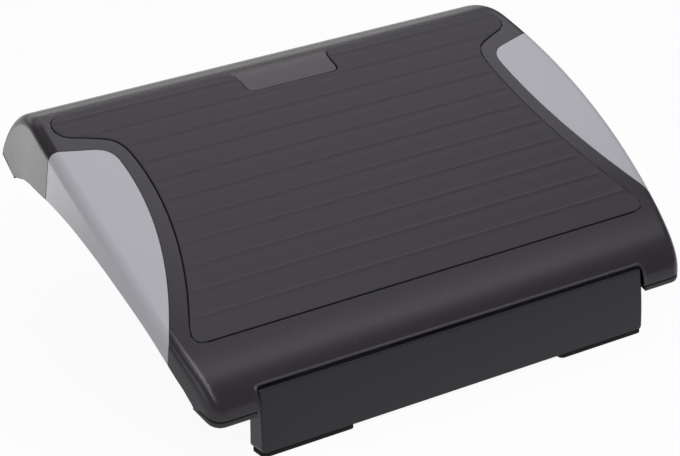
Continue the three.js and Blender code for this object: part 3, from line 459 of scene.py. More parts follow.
def mat_outline():
    """The mat's recess on the unrolled skin, cut out round the bare tab at the rear."""
    waist = (MAT_WAIST_HALF, MAT_WAIST_AT)
    front_corner = (MAT_FRONT_HALF, MAT_FRONT)
    side_middle = (MAT_WAIST_HALF, (MAT_FRONT + MAT_WAIST_AT) / 2)
    side = quadratic([front_corner, side_middle, waist], MAT_SIDE_STEPS)
    share = MAT_CORNER / (MAT_WAIST_AT - MAT_FRONT)
    corner_end = side[int(round(share * (MAT_SIDE_STEPS - 1)))]
    corner_start = (MAT_FRONT_HALF - MAT_CORNER, MAT_FRONT)
    corner = quadratic([corner_start, front_corner, corner_end], steps=16)
    bend_start, bend_end = MAT_BEND_PULLS
    lobe_half, lobe_along = MAT_LOBE
    bend = bezier([
        waist,
        (MAT_WAIST_HALF, MAT_WAIST_AT + bend_start),
        (lobe_half - bend_end, lobe_along - bend_end * MAT_LOBE_SLOPE),
        MAT_LOBE,
    ], steps=40)
    lobe = bezier([
        MAT_LOBE,
        (lobe_half + MAT_LOBE_PULL, lobe_along + MAT_LOBE_PULL * MAT_LOBE_SLOPE),
        (MAT_LOBE_HALF, MAT_REAR),
        (MAT_LOBE_END, MAT_REAR),
    ], steps=30)
    flare = bezier([
        (TAB_HALF + TAB_FLARE, MAT_REAR),
        (TAB_HALF + TAB_FLARE / 4, MAT_REAR),
        (TAB_HALF, (TAB_FLARE_AT + MAT_REAR) / 2),
        (TAB_HALF, TAB_FLARE_AT),
    ], steps=16)
    tab_ends = (TAB_HALF, TAB_FRONT + TAB_CORNER), (TAB_HALF - TAB_CORNER, TAB_FRONT)
    tab = quadratic([tab_ends[0], (TAB_HALF, TAB_FRONT), tab_ends[1]], steps=10)
    front = respaced([(0, MAT_FRONT), corner_start], WIDE)
    rear = respaced([lobe[-1], flare[0]], WIDE)
    tab_front = respaced([tab[-1], (0, TAB_FRONT)], WIDE)
    after = side[side[:, 1] > corner_end[1]][::2]
    right = np.vstack([front, corner, after, bend, lobe, rear, flare, tab, tab_front])
    right[:, 1] = SECTION.place_of(right[:, 1])
    return mirrored(right)


def panel_plan():
    """The panel's outline in plan, on the right, as it would lie on the crown, and its two ends."""
    waist = (PANEL_WAIST_HALF, PANEL_WAIST_AT)
    bow = (PANEL_SEAM_HALF - PANEL_WAIST_HALF) / (PANEL_WAIST_AT - PANEL_FRONT) ** 2
    outside = HALF_WIDTH + 6
    front = PANEL_WAIST_AT - math.sqrt((outside - PANEL_WAIST_HALF) / bow)
    side_middle = (PANEL_WAIST_HALF, (front + PANEL_WAIST_AT) / 2)
    side = quadratic([(outside, front), side_middle, waist], steps=120)
    bend_half, bend_along = PANEL_BEND_AT
    slope = (PANEL_REAR - bend_along) / (PANEL_SEAM_HALF - bend_half)
    bend_start, bend_end = PANEL_BEND_PULLS
    corner = bezier([
        waist,
        (PANEL_WAIST_HALF, PANEL_WAIST_AT + bend_start),
        (bend_half - bend_end, bend_along - bend_end * slope),
        PANEL_BEND_AT,
    ], steps=24)
    last = respaced([PANEL_BEND_AT, (outside, bend_along + (outside - bend_half) * slope)], spacing=1)
    return np.vstack([side, corner[1:], last[1:]])


def seam_on_skin(plan):
    """One end of the panel's outline, from the crown out over the side edge and down the wall."""
    points = []
    wall_along = None
    for across, along in plan:
        place = SECTION.place_of(along)
        flat = SECTION.at(place, SECTION.flat)
        radius = SECTION.at(place, SECTION.radii)
        if across <= flat:
            points.append((across, place))
        elif across < flat + radius:
            angle = math.asin((across - flat) / radius)
            drop = radius * (1 - math.cos(angle))
            inward = SECTION.at(place, SECTION.inward[:, 0])
            moved = SECTION.place_of(along - PANEL_LEAN * drop - inward * drop)
            points.append((flat + radius * angle, moved))
            wall_along = along
        else:
            break
    top = crown_up(wall_along)
    start = top - SECTION.at(SECTION.place_of(wall_along), SECTION.radii)
    for up in np.arange(start - 1, WALL_FOOT_UP + 2, -1.0):
        points.append(wall_place(wall_along - PANEL_LEAN * (top - up), up))
    return np.array(points)


def panel_outline():
    """The panel's recess on the unrolled skin, on the right; its ends run past the lower edge."""
    plan = panel_plan()
    turn = int(np.argmin(plan[:, 0]))
    front = seam_on_skin(plan[:turn + 1][::-1])[::-1]
    rear = seam_on_skin(plan[turn:])
    return tidy_loop(np.vstack([respaced(line, spacing=1.5) for line in (front, rear)]))


def signed_area(loop):
    """Area inside a closed outline, below zero where it runs clockwise."""
    before = np.roll(loop, 1, 0)
    return np.sum(before[:, 0] * loop[:, 1] - loop[:, 0] * before[:, 1]) / 2


def offset(loop, distance):
    """A closed outline moved out by a distance, or in by a negative one."""
    before, after = np.roll(loop, 1, 0), np.roll(loop, -1, 0)
    into = (loop - before) / np.linalg.norm(loop - before, axis=1)[:, None]
    out = (after - loop) / np.linalg.norm(after - loop, axis=1)[:, None]
    bisector = into + out
    bisector /= np.linalg.norm(bisector, axis=1)[:, None]
    least_stretch = 0.5
    stretch = np.clip(np.sum(bisector * out, axis=1), least_stretch, 1)
    outward = np.stack([bisector[:, 1], -bisector[:, 0]], 1) * np.sign(signed_area(loop))
    return loop + outward * (distance / stretch)[:, None]


class Line:
    """A line on the unrolled skin whose distance from any point can be asked."""

    def __init__(self, points, closed=True):
        points = np.array(points, float)
        if closed:
            points = np.vstack([points, points[:1]])
        spaced = []
        for start, end in zip(points[:-1], points[1:]):
            shares = np.linspace(0, 1, max(int(np.linalg.norm(end - start)), 1), endpoint=False)
            spaced += [start + (end - start) * share for share in shares]
        spaced.append(points[-1])
        self.points = np.array(spaced)
        self.tree = KDTree(len(self.points))
        for index, point in enumerate(self.points):
            self.tree.insert((*point, 0), index)
        self.tree.balance()

    def distances(self, places, limit):
        """Distance of each place from the line, or limit where it is farther."""
        out = np.full(len(places), float(limit))
        last = len(self.points) - 1
        for order, place in enumerate(places):
            _, index, best = self.tree.find((*place, 0))
            if best > limit + 1:
                continue
            for first in (index - 1, index):
                if 0 <= first < last:
                    best = min(best, to_segment(place, self.points[first], self.points[first + 1]))
            out[order] = min(best, limit)
        return out


def to_segment(place, start, end):
    along = end - start
    size = along @ along
    share = 0 if size == 0 else min(max((place - start) @ along / size, 0), 1)
    return float(np.linalg.norm(place - start - along * share))


def rounding(distance, radius):
    """Depth of a rounded edge at a distance from it."""
    rest = np.clip(radius - distance, 0, radius)
    return radius - np.sqrt(radius ** 2 - rest ** 2)


def rounded(places, line, radius):
    """Depth of the rounded edge along a line, at each place."""
    return rounding(line.distances(places, radius), radius)


# Closed plates cut from the unrolled skin
def skin_grid(reach_end, row_spacing, column_spacing):
    """Points over the whole skin, in rows across it; closer together where it bends."""
    rows = []
    place = 1.0
    blend_front, blend_rear = SECTION.place_of([NOSE_BLEND_AT, TAIL_BLEND_AT])
    while place < SECTION.length[-1] - 1:
        rows.append(place)
        place += row_spacing if blend_front <= place <= blend_rear else row_spacing / 2
    points = []
    flats = SECTION.at(np.array(rows), SECTION.flat)
    ends = SECTION.at(np.array(rows), SECTION.edge_end)
    limits = np.interp(rows, reach_end[:, 1], reach_end[:, 0])
    flat_count = int(flats.max() / column_spacing)
    for place, flat, end, limit in zip(rows, flats, ends, limits):
        columns = list(np.linspace(0, flat, flat_count + 1))
        columns += list(np.linspace(flat, end, EDGE_COLUMNS)[1:])
        columns += list(np.arange(end + WALL_COLUMN, max(limit, end) + 1, WALL_COLUMN))
        for column in columns:
            points.append((column, place))
            if column > 0:
                points.append((-column, place))
    return np.array(points)


def triangulated(loops, rings, points):
    """Triangles whose edges follow the loops and rings, each with the loops that it lies in."""
    verts, edges, faces = [], [], []
    for loop in loops:
        start = len(verts)
        verts.extend(loop if signed_area(loop) > 0 else loop[::-1])
        faces.append(list(range(start, start + len(loop))))
    for ring in rings:
        start = len(verts)
        verts.extend(ring)
        count = len(ring)
        edges.extend((start + step, start + (step + 1) % count) for step in range(count))
    verts.extend(points)
    vectors = [Vector((float(x), float(y))) for x, y in verts]
    nearest = 1e-4
    made, _, triangles, _, _, owners = delaunay_2d_cdt(vectors, edges, faces, 0, nearest)
    return np.array([tuple(place) for place in made]), triangles, owners


def filling(loops, rings, points):
    """Places, and those triangles between them that lie inside all the loops."""
    places, triangles, owners = triangulated(loops, rings, points)
    return places, [tri for tri, own in zip(triangles, owners) if len(own) == len(loops)]


def clear_of(points, lines, distance):
    """Those points that lie at least a distance away from every line."""
    for line in lines:
        points = points[line.distances(points, distance) >= distance]
    return points


def to_world(points):
    along, up = points[:, 1] - PIVOT_ALONG, points[:, 2] - PIVOT_UP
    y = PIVOT.y + along * TILT_COS - up * TILT_SIN
    z = PIVOT.z + along * TILT_SIN + up * TILT_COS
    return np.stack([points[:, 0], y, z], 1) * MM


def to_platform(point):
    """Place of a world point in the flat drawing, as (across, along, up)."""
    y, z = point[1] / MM - PIVOT.y, point[2] / MM - PIVOT.z
    along, up = y * TILT_COS + z * TILT_SIN, z * TILT_COS - y * TILT_SIN
    return point[0] / MM, along + PIVOT_ALONG, up + PIVOT_UP


def plate(places, triangles, top_depth, bottom_depth):
    """Vertices and faces of a closed plate between two depths under the skin."""
    used = sorted({index for triangle in triangles for index in triangle})
    renumber = {index: order for order, index in enumerate(used)}
    kept = places[used]
    count = len(used)
    top = surface(kept[:, 0], kept[:, 1], top_depth[used])
    bottom = surface(kept[:, 0], kept[:, 1], bottom_depth)
    faces = []
    sides = {}
    for triangle in triangles:
        a, b, c = (renumber[index] for index in triangle)
        faces.append((a, b, c))
        faces.append((count + a, count + c, count + b))
        for start, end in ((a, b), (b, c), (c, a)):
            if (end, start) in sides:
                del sides[(end, start)]
            else:
                sides[(start, end)] = True
    for start, end in sides:
        faces.append((start, count + start, count + end, end))
    return to_world(np.vstack([top, bottom])), faces


def filled(parts):
    """A mesh made of closed parts, each one vertices and faces."""
    mesh_tool = bmesh.new()
    for vertices, faces in parts:
        made = [mesh_tool.verts.new(tuple(point)) for point in vertices]
        for face in faces:
            try:
                mesh_tool.faces.new([made[index] for index in face])
            except ValueError:
                continue
    bmesh.ops.recalc_face_normals(mesh_tool, faces=mesh_tool.faces)
    return mesh_tool


def linked(name, data):
    """A new object in the scene for a mesh, a lamp or a camera."""
    made = bpy.data.objects.new(name, data)
    bpy.context.scene.collection.objects.link(made)
    return made


def plain_object(name, mesh_tool):
    """An object that takes over a mesh as it is."""
    mesh = bpy.data.meshes.new(name)
    mesh_tool.to_mesh(mesh)
    mesh_tool.free()
    return linked(name, mesh)


def mesh_object(name, parts, sharp_angle=38):
    """One object from closed parts, with smooth shading but for its sharp edges."""
    mesh_tool = filled(parts)
    for face in mesh_tool.faces:
        face.smooth = True
    for edge in mesh_tool.edges:
        if len(edge.link_faces) == 2:
            edge.smooth = edge.calc_face_angle(0) < math.radians(sharp_angle)
    piece = plain_object(name, mesh_tool)
    weight_normals(piece)
    return piece


def weight_normals(piece):
    weighted = piece.modifiers.new("weighted", "WEIGHTED_NORMAL")
    weighted.keep_sharp = True


def welded(name):
    """A node's mesh with its doubled corners joined, for a new piece."""
    mesh_tool = bmesh.new()
    mesh_tool.from_mesh(frame["nodes"][name].data)
    bmesh.ops.remove_doubles(mesh_tool, verts=mesh_tool.verts, dist=0.001 * MM)
    return mesh_tool


def islands(mesh_tool):
    """A mesh's separate bodies, each as vertices and faces, in the same order each run."""
    waiting = dict.fromkeys(mesh_tool.verts)
    bodies = []
    while waiting:
        reached = [waiting.popitem()[0]]
        for vertex in reached:
            for edge in vertex.link_edges:
                other = edge.other_vert(vertex)
                if other in waiting:
                    del waiting[other]
                    reached.append(other)
        order = {vertex: index for index, vertex in enumerate(reached)}
        faces = dict.fromkeys(face for vertex in reached for face in vertex.link_faces)
        points = np.array([vertex.co[:] for vertex in reached])
        bodies.append((points, [[order[vertex] for vertex in face.verts] for face in faces]))
    mesh_tool.free()
    return bodies


def cut_away(piece, cutter):
    """The separate bodies left of one scratch object with another one cut away; both are used up."""
    cut = piece.modifiers.new("cut", "BOOLEAN")
    cut.operation = "DIFFERENCE"
    cut.solver = "EXACT"
    cut.object = cutter
    graph = bpy.context.evaluated_depsgraph_get()
    left = bmesh.new()
    left.from_mesh(bpy.data.meshes.new_from_object(piece.evaluated_get(graph)))
    for scratch in (piece, cutter):
        bpy.data.objects.remove(scratch)
    return islands(left)


def under_walls(name, slab):
    """What a node has inside its walls, such as ribs and bosses, cut free of them by a slab."""
    bodies = cut_away(plain_object("cut_source", welded(name)), slab)
    return [body for body in bodies if np.ptp(body[0], axis=0).max() > LEAST_FORM * MM]


SKIN = skin_outline()
MAT = mat_outline()
PANEL = panel_outline()
SIDE_REACH = SKIN[SKIN[:, 0] > 0]
SIDE_REACH = SIDE_REACH[np.argsort(SIDE_REACH[:, 1])]


def panels(distance=0.0):
    right = offset(PANEL, distance) if distance else PANEL
    return [right, (right * [-1, 1])[::-1]]


def recessed(places, triangles, owners, top_depth, bottom_depth):
    """A closed shell whose area inside the inner loops lies at the recess's depth."""
    levels = {"top": top_depth, "floor": np.full(len(places), float(RECESS)), "bottom": bottom_depth}
    found, wanted = {}, []

    def corner(index, level):
        if (index, level) not in found:
            found[(index, level)] = len(wanted)
            wanted.append((index, level))
        return found[(index, level)]

    faces, sides = [], {}
    for (a, b, c), owner in zip(triangles, owners):
        level = "top" if owner == [0] else "floor"
        faces.append([corner(index, level) for index in (a, b, c)])
        faces.append([corner(index, "bottom") for index in (a, c, b)])
        for start, end in ((a, b), (b, c), (c, a)):
            sides[(start, end)] = level
    for (start, end), level in sides.items():
        other = sides.get((end, start), "bottom")
        if level == "top" and other != "top" or level == "floor" and other == "bottom":
            around = (start, level), (start, other), (end, other), (end, level)
            faces.append([corner(*item) for item in around])
    index = np.array([item[0] for item in wanted])
    depth = np.array([levels[level][item] for item, level in wanted])
    return to_world(surface(places[index, 0], places[index, 1], depth)), faces


def wall_slab():
    """The whole skin as a solid that takes in the shell's walls and a little more."""
    margin, step, spacing = 0.5, 3, 9
    lengths = np.arange(margin, SECTION.length[-1] - margin, step)
    reach = SECTION.at(lengths, SECTION.edge_end) + SECTION.at(lengths, SECTION.wall)
    rim = np.stack([reach, lengths], 1)
    front = respaced([(0, lengths[0]), rim[0]], spacing)
    rear = respaced([rim[-1], (0, lengths[-1])], spacing)
    outline = mirrored(np.vstack([front, rim, rear]))
    grid = skin_grid(rim, row_spacing=5, column_spacing=12)
    places, inside = filling([outline], [], clear_of(grid, [Line(outline)], distance=1.5))
    top_depth = np.full(len(places), -float(SLAB_OUTSIDE))
    return plain_object("slab", filled([plate(places, inside, top_depth, SLAB_DEPTH)]))


def hump(away):
    """A smooth hump, 1 high in its middle and 0 from a distance of 1."""
    return 0.5 + 0.5 * np.cos(math.pi * np.clip(away, 0, 1))


def bead(distance):
    """Height of the raised bead along the notch, at a distance from the notch's edge."""
    away = distance - BEAD_AT
    return BEAD_HEIGHT * hump(np.where(away < 0, -away / BEAD_AT, away / (BEAD_END - BEAD_AT)))


def paint_tab(shell):
    """Gives the bare tab between the mat's rear ends its smoother finish, and a lighter colour that is painted
    sheen.
    """
    shell.data.materials.append(MATERIALS["tab"])
    for polygon in shell.data.polygons:
        across, along, up = to_platform(polygon.center)
        on_top = up > crown_up(min(along, TAIL_BLEND_AT)) - 1
        # Faces on the tab's top take the material with the painted sheen.
        if on_top and abs(across) < TAB_HALF + TAB_FLARE and TAB_FRONT < along < TAB_PAINT_END:
            polygon.material_index = 1


def make_shell():
    """The shell's walls with their recesses, notch and bead, and the solid's own ribs and bosses."""
    skin_line, *seams = [Line(loop) for loop in (SKIN, MAT, *panels())]
    notch = Line(notch_line(), closed=False)
    rings = []
    for share in RING_SHARES:
        rings += [offset(SKIN, -share * LIP_ROUND), offset(MAT, share * SEAM_ROUND)]
        rings += panels(share * SEAM_ROUND)
    rings += [offset(SKIN, -distance) for distance in BEAD_RINGS]
    points = skin_grid(SIDE_REACH, row_spacing=4, column_spacing=9)
    points = clear_of(points, [skin_line, *seams], distance=1.4)
    points = clear_of(points, [notch], distance=BEAD_RINGS[-1] + 0.8)
    places, triangles, owners = triangulated([SKIN, MAT, *panels()], rings, points)
    triangles = [triangle for triangle, owner in zip(triangles, owners) if 0 in owner]
    owners = [owner for owner in owners if 0 in owner]
    from_notch = notch.distances(places, BEAD_END)
    edges = [rounded(places, skin_line, LIP_ROUND), rounding(from_notch, NOTCH_ROUND)]
    edges += [rounded(places, line, SEAM_ROUND) for line in seams]
    depth = np.maximum.reduce(edges) - bead(from_notch)
    from_edge = skin_line.distances(places, INNER_STEP * 2)
    inner = np.where(from_edge > INNER_STEP, INNER_WALL, SHELL_WALL)
    beside_beam = (from_notch < BEAD_END) & (np.abs(places[:, 0]) > NOTCH_HALF - TOUCHING)
    inner = np.where(beside_beam, CHEEK_WALL, inner)
    walls = recessed(places, triangles, owners, depth, inner)
    return mesh_object("shell_skin", [walls, *under_walls("top_shell", wall_slab())])


def mat_height(along):
    """Height of the mat's ribs, and of the low swell behind each, at places along the platform."""
    height = np.zeros(len(along))
    for count in range(RIB_COUNT):
        behind = along - (RIB_REARMOST - count * RIB_PITCH)
        span = np.where(behind < 0, RIB_FRONT, RIB_BACK)
        share = np.clip(1 - np.abs(behind) / span, 0, 1)
        height = np.maximum(height, RIB_HEIGHT * share ** 2 * (3 - 2 * share))
        if count > 0:
            swell = SWELL_HEIGHT * hump(np.abs(behind - SWELL_BEHIND) / SWELL_HALF)
            height = np.maximum(height, swell)
    return height


def mat_rows():
    """Places along the platform where the mat's section bends, close together at each rib."""
    steps = np.linspace(-1, 0, 5)
    near = [*steps * RIB_FRONT, *-steps[:-1] * RIB_BACK]
    swell = SWELL_BEHIND + np.linspace(-1, 1, 9) * SWELL_HALF
    rows = []
    for count in range(RIB_COUNT):
        middle = RIB_REARMOST - count * RIB_PITCH
        rows += [middle + step for step in near]
        if count > 0:
            rows += [middle + step for step in swell]
    spacing = 3
    before = np.arange(MAT_FRONT, min(rows) - 1, spacing)
    return sorted([*before, *rows, *np.arange(max(rows) + 2, MAT_REAR, spacing)])


def make_mat():
    """The mat as one plate with its ribs, which fade out before its edge."""
    loop = offset(MAT, -MAT_GROOVE)
    line = Line(loop)
    rings = [offset(loop, -share * MAT_ROUND) for share in RING_SHARES]
    rings.append(offset(loop, -RIB_MARGIN - RIB_FADE))
    columns = np.arange(-MAT_FRONT_HALF, MAT_FRONT_HALF + 1, MAT_COLUMN)
    rows = SECTION.place_of(np.array(mat_rows()))
    points = np.array([(column, row) for row in rows for column in columns])
    places, inside = filling([loop], rings, clear_of(points, [line], distance=0.9))
    edge = line.distances(places, RIB_MARGIN + RIB_FADE)
    fade = np.clip((edge - RIB_MARGIN) / RIB_FADE, 0, 1)
    along = SECTION.at(places[:, 1], SECTION.points[:, 0])
    depth = -MAT_RISE + rounding(edge, MAT_ROUND) - mat_height(along) * fade
    return mesh_object("mat_ribbed", [plate(places, inside, depth, MAT_THICKNESS - MAT_RISE)])


def make_panel(name, loop):
    """A side panel, from its outline on the skin down to the side wall's lower edge."""
    line, skin_line = Line(loop), Line(SKIN)
    rings = [offset(loop, -share * SEAM_ROUND) for share in RING_SHARES]
    rings += [offset(SKIN, -share * LIP_ROUND) for share in RING_SHARES]
    grid = skin_grid(SIDE_REACH, row_spacing=4, column_spacing=6)
    margin = 2
    low, high = loop.min(0) - margin, loop.max(0) + margin
    near = np.all((grid > low) & (grid < high), axis=1)
    points = clear_of(grid[near], [line, skin_line], distance=1.3)
    places, inside = filling([loop, SKIN], rings, points)
    depth = np.maximum(rounded(places, line, SEAM_ROUND), rounded(places, skin_line, LIP_ROUND))
    return mesh_object(name, [plate(places, inside, depth, PANEL_THICKNESS)])


def make_strip(word):
    """The strip under one front corner, its rear end drawn back to meet the side wall's arch."""
    mesh_tool = welded(f"front_lip_strip_{word}")
    for vertex in mesh_tool.verts:
        across, along, up = to_platform(vertex.co)
        if along < STRIP_MOVED_FROM or up > STRIP_TOP + SAME_POINT:
            continue
        low = (STRIP_TOP - up) / (STRIP_TOP - STRIP_BOTTOM)
        moved = [top + (bottom - top) * low for top, bottom in zip(STRIP_TOP_END, STRIP_BOTTOM_END)]
        reach = abs(across) + (half_at(moved[0], 0) - half_at(along, 0))
        vertex.co = to_world(np.array([[math.copysign(reach, across), *moved]]))[0]
    return mesh_object(f"corner_strip_{word}", islands(mesh_tool))


def beam_rows(inset):
    """Heights of the beam's rows, closer together at its rounded edges, with each one's inset there."""
    low, high = BEAM_BOTTOM + inset, BEAM_TOP - inset
    edge_rows, middle_rows = 6, 40
    turns = np.linspace(0, math.pi / 2, edge_rows)
    rounds = [(1 - math.sin(turn), 1 - math.cos(turn)) for turn in turns]
    low_edge = [(low + BEAM_EDGE * rise, BEAM_EDGE * inward) for rise, inward in rounds[::-1]]
    middle = np.linspace(low + BEAM_EDGE, high - BEAM_TOP_ROUND, middle_rows)[1:-1]
    high_edge = [(high - BEAM_TOP_ROUND * rise, BEAM_TOP_ROUND * inward) for rise, inward in rounds]
    return low_edge + [(up, 0) for up in middle] + high_edge


def beam_row(up, edge, inset, back):
    """One row round the beam's front and sides, from its left rear to its right rear."""
    share = (up - BEAM_BOTTOM) / (BEAM_TOP - BEAM_BOTTOM)
    front = BEAM_FRONT + inset + edge + BEAM_SETBACK * share ** 2
    lower = max(BEAM_LOWER_CORNER - max(up - BEAM_BOTTOM - inset, 0), 0)
    drawn_in = BEAM_LOWER_CORNER - math.sqrt(BEAM_LOWER_CORNER ** 2 - lower ** 2)
    half = BEAM_HALF - inset - max(edge, drawn_in)
    corner = BEAM_CORNER - inset / 2
    side_points, corner_points, face_points = 4, 9, 24
    side = [(half, along) for along in np.linspace(back, front + corner, side_points)[:-1]]
    turned = [
        (half - corner + corner * math.cos(turn), front + corner - corner * math.sin(turn))
        for turn in np.linspace(0, math.pi / 2, corner_points)
    ]
    face = [(across, front) for across in np.linspace(half - corner, 0, face_points)[1:]]
    right = side + turned + face
    left = [(-across, along) for across, along in right[:-1]]
    return [(across, along, up) for across, along in left + right[::-1]]


def beam_body(inset, back):
    """The beam's outer form moved in by an inset, as a closed mesh."""
    rows = [beam_row(up, edge, inset, back) for up, edge in beam_rows(inset)]
    count = len(rows[0])
    points = np.array(rows).reshape(-1, 3) * MM
    faces = []
    for low in range(0, len(points) - count, count):
        high = low + count
        for place in range(count):
            after = (place + 1) % count
            faces.append([low + place, low + after, high + after, high + place])
    faces += [range(count), range(len(points) - count, len(points))]
    return filled([(points, faces)])


def beam_walls(inset, outset):
    """The beam's walls, open at the rear, from outset outside its form to inset inside it."""
    outer = plain_object("beam_outside", beam_body(-outset, BEAM_BACK))
    inner = plain_object("beam_inside", beam_body(inset, BEAM_BACK + BEAM_OPEN_BEHIND))
    return cut_away(outer, inner)


def make_beam():
    """The beam's rounded walls, and the solid's own ribs and bosses behind them."""
    slab = plain_object("beam_slab", filled(beam_walls(BEAM_SLAB, outset=1)))
    forms = under_walls("base_front_beam", slab)
    return mesh_object("beam_skin", [*beam_walls(BEAM_WALL, outset=0), *forms], sharp_angle=30)


def make_foot(word):
    """The front foot, its outer end kept clear of the beam's rounded lower corner."""
    mesh_tool = welded(f"front_foot_{word}")
    for vertex in mesh_tool.verts:
        if abs(vertex.co.x) > FOOT_END_FROM * MM:
            vertex.co.x -= math.copysign(FOOT_SHORTER * MM, vertex.co.x)
    return mesh_object(f"foot_pad_{word}", islands(mesh_tool))


# Materials
def linear(value):
    """A channel from 0 to 255 as the screen shows it, as linear light."""
    share = value / 255
    return share / 12.92 if share <= 0.04045 else ((share + 0.055) / 1.055) ** 2.4


def colour(red, green, blue):
    return (linear(red), linear(green), linear(blue), 1)


def wired(tree, made, inputs):
    """Sets a node's inputs, by name or number, each to a value or to another node's output."""
    for key, value in inputs.items():
        if isinstance(value, bpy.types.NodeSocket):
            tree.links.new(value, made.inputs[key])
        else:
            made.inputs[key].default_value = value
    return made.outputs


def node(tree, kind, inputs=None, **settings):
    """The outputs of a new node, made with its settings and inputs."""
    made = tree.nodes.new("ShaderNode" + kind)
    for key, value in settings.items():
        setattr(made, key, value)
    return wired(tree, made, inputs or {})


def noise(tree, coordinates, scale, detail):
    inputs = {"Scale": scale, "Detail": detail, "Vector": coordinates}
    return node(tree, "TexNoise", inputs)["Fac"]


def mapped(tree, value, low, high):
    return node(tree, "MapRange", {"To Min": low, "To Max": high, "Value": value})["Result"]


def calculated(tree, operation, *values):
    return node(tree, "Math", dict(enumerate(values)), operation=operation)[0]


def blended(tree, share, first, second):
    inputs = {"Factor": share, "A": first, "B": second}
    return node(tree, "Mix", inputs, data_type="RGBA")["Result"]


MOTTLE_SCALE = 26
SPECKLE_SCALE = 1400
GRAIN_SCALE = 1000
GRAIN_DEPTH = 0.00012
ROUGHNESS_SPREAD = 0.06


def moulded(name, base, rough, grain=0.12, grain_size=0.9, shift=0.04, specular=0.5, metallic=0.0):
    """A moulded or rubber surface: fine grain, uneven roughness and slight changes of colour."""
    material = bpy.data.materials.new(name)
    material.use_nodes = True
    tree = material.node_tree
    place = node(tree, "TexCoord")["Object"]
    speckle = noise(tree, place, SPECKLE_SCALE, detail=2)
    mottle = mapped(tree, noise(tree, place, MOTTLE_SCALE, detail=1), 0.0, 0.5)
    share = calculated(tree, "MULTIPLY_ADD", speckle, 0.5, mottle)
    dark, light = (
        tuple(channel * amount for channel in base[:3]) + (1,) for amount in (1 - shift, 1 + shift)
    )
    height = noise(tree, place, GRAIN_SCALE / grain_size, detail=3)
    bump = node(tree, "Bump", {"Strength": grain, "Distance": GRAIN_DEPTH, "Height": height})
    wired(tree, tree.nodes["Principled BSDF"], {
        "Base Color": blended(tree, share, dark, light),
        "Roughness": mapped(tree, speckle, rough - ROUGHNESS_SPREAD, rough + ROUGHNESS_SPREAD),
        "Normal": bump["Normal"],
        "Specular IOR Level": specular,
        "Metallic": metallic,
    })
    return material


def fading(material, far, first, last):
    """Blends a material's colour to another one between two places along the platform."""
    tree = material.node_tree
    shader = tree.nodes["Principled BSDF"]
    direction = (0, TILT_COS, TILT_SIN)
    inputs = {0: node(tree, "TexCoord")["Object"], 1: direction}
    along = node(tree, "VectorMath", inputs, operation="DOT_PRODUCT")["Value"]
    middle = PIVOT.dot(direction) - PIVOT_ALONG
    share = node(tree, "MapRange", {
        "From Min": (first + middle) * MM,
        "From Max": (last + middle) * MM,
        "Value": along,
    }, interpolation_type="SMOOTHSTEP")["Result"]
    near = shader.inputs["Base Color"].links[0].from_socket
    wired(tree, shader, {"Base Color": blended(tree, share, near, far)})
    return material


SHELL_COLOUR = colour(43, 39, 44)
# The tab's lighter colour is painted sheen: it stands in for the light that its smooth face reflects, and it fades
# into the shell's colour towards the rear.
TAB_SHEEN_COLOUR = colour(53, 48, 53)
MATERIALS = {
    "shell": moulded("shell_grain", SHELL_COLOUR, 0.28, grain=0.1, grain_size=0.8, specular=0.35),
    "tab": fading(
        moulded("tab_smooth_painted_sheen", TAB_SHEEN_COLOUR, 0.3, grain=0.03, grain_size=0.6, shift=0.02, specular=0.38),
        SHELL_COLOUR, MAT_REAR, TAB_FADE_END,
    ),
    "mat": moulded("mat_rubber", colour(51, 48, 53), 0.5, grain=0.2, grain_size=0.6, specular=0.3),
    "panel": moulded("panel_satin", colour(170, 171, 175), 0.38, grain=0.06, grain_size=0.5, shift=0.02),
    "strip": moulded("strip_matt", colour(30, 29, 31), 0.6, grain=0.2),
    "base": moulded("base_grain", colour(32, 29, 36), 0.34, grain_size=0.8, specular=0.3),
    "bracket": moulded("bracket_filled", colour(40, 40, 42), 0.55, grain=0.35, grain_size=1.2),
    "rubber": moulded("foot_rubber", colour(24, 24, 26), 0.85, grain=0.4, specular=0.25),
    "nylon": moulded("nylon_natural", colour(214, 210, 198), 0.4, grain=0.08, shift=0.02),
    "steel": moulded("steel_zinc", colour(170, 172, 176), 0.3, grain=0.05, metallic=1.0),
}


def dress(piece, slot_name):
    piece.data.materials.clear()
    piece.data.materials.append(MATERIALS[slot_name])


def dress_nodes():
    """Gives every carried-over node its slot's material and smooth shading but for sharp edges."""
    slots = {part["node"]: part["material_slot"] for part in frame["record"]["subparts"]}
    for name, piece in frame["nodes"].items():
        dress(piece, slots[name])
        for polygon in piece.data.polygons:
            polygon.use_smooth = True
        weld = piece.modifiers.new("weld", "WELD")
        weld.merge_threshold = TOUCHING * MM
        split = piece.modifiers.new("split", "EDGE_SPLIT")
        split.split_angle = math.radians(35)
        weight_normals(piece)


# Floor, lights and camera
CAMERA_AT = (-1.19519, -1.72281, 1.04070)
CAMERA_ROUND = 34.734
CAMERA_DOWN = 24.5928
FOCAL_PIXELS = 2777
FRAME_PIXELS = 680
SENSOR = 36
FLOOR_SIZE = 14
FLOOR_UP = -0.0004
FLOOR_GREY = 0.8
FLOOR_WHITENESS = 0.94
AMBIENT = 0.26
LIT_MIDDLE = (0, 0, 0.1)
COOL = (0.96, 0.95, 1)
WARM = (1, 0.97, 0.97)


def add_camera():
    data = bpy.data.cameras.new("camera")
    data.sensor_width = SENSOR
    data.lens = FOCAL_PIXELS / FRAME_PIXELS * SENSOR
    data.clip_end = 50
    camera = linked("camera", data)
    camera.location = CAMERA_AT
    camera.rotation_euler = (math.radians(90 - CAMERA_DOWN), 0, -math.radians(CAMERA_ROUND))
    bpy.context.scene.camera = camera


def add_area(name, place, size, power, tint, target=LIT_MIDDLE):
    data = bpy.data.lights.new(name, "AREA")
    data.shape = "RECTANGLE"
    data.size, data.size_y = size
    data.energy = power
    data.color = tint
    lamp = linked(name, data)
    direction = Vector(target) - Vector(place)
    lamp.rotation_euler = direction.to_track_quat("-Z", "Y").to_euler()
    lamp.location = place
    return lamp


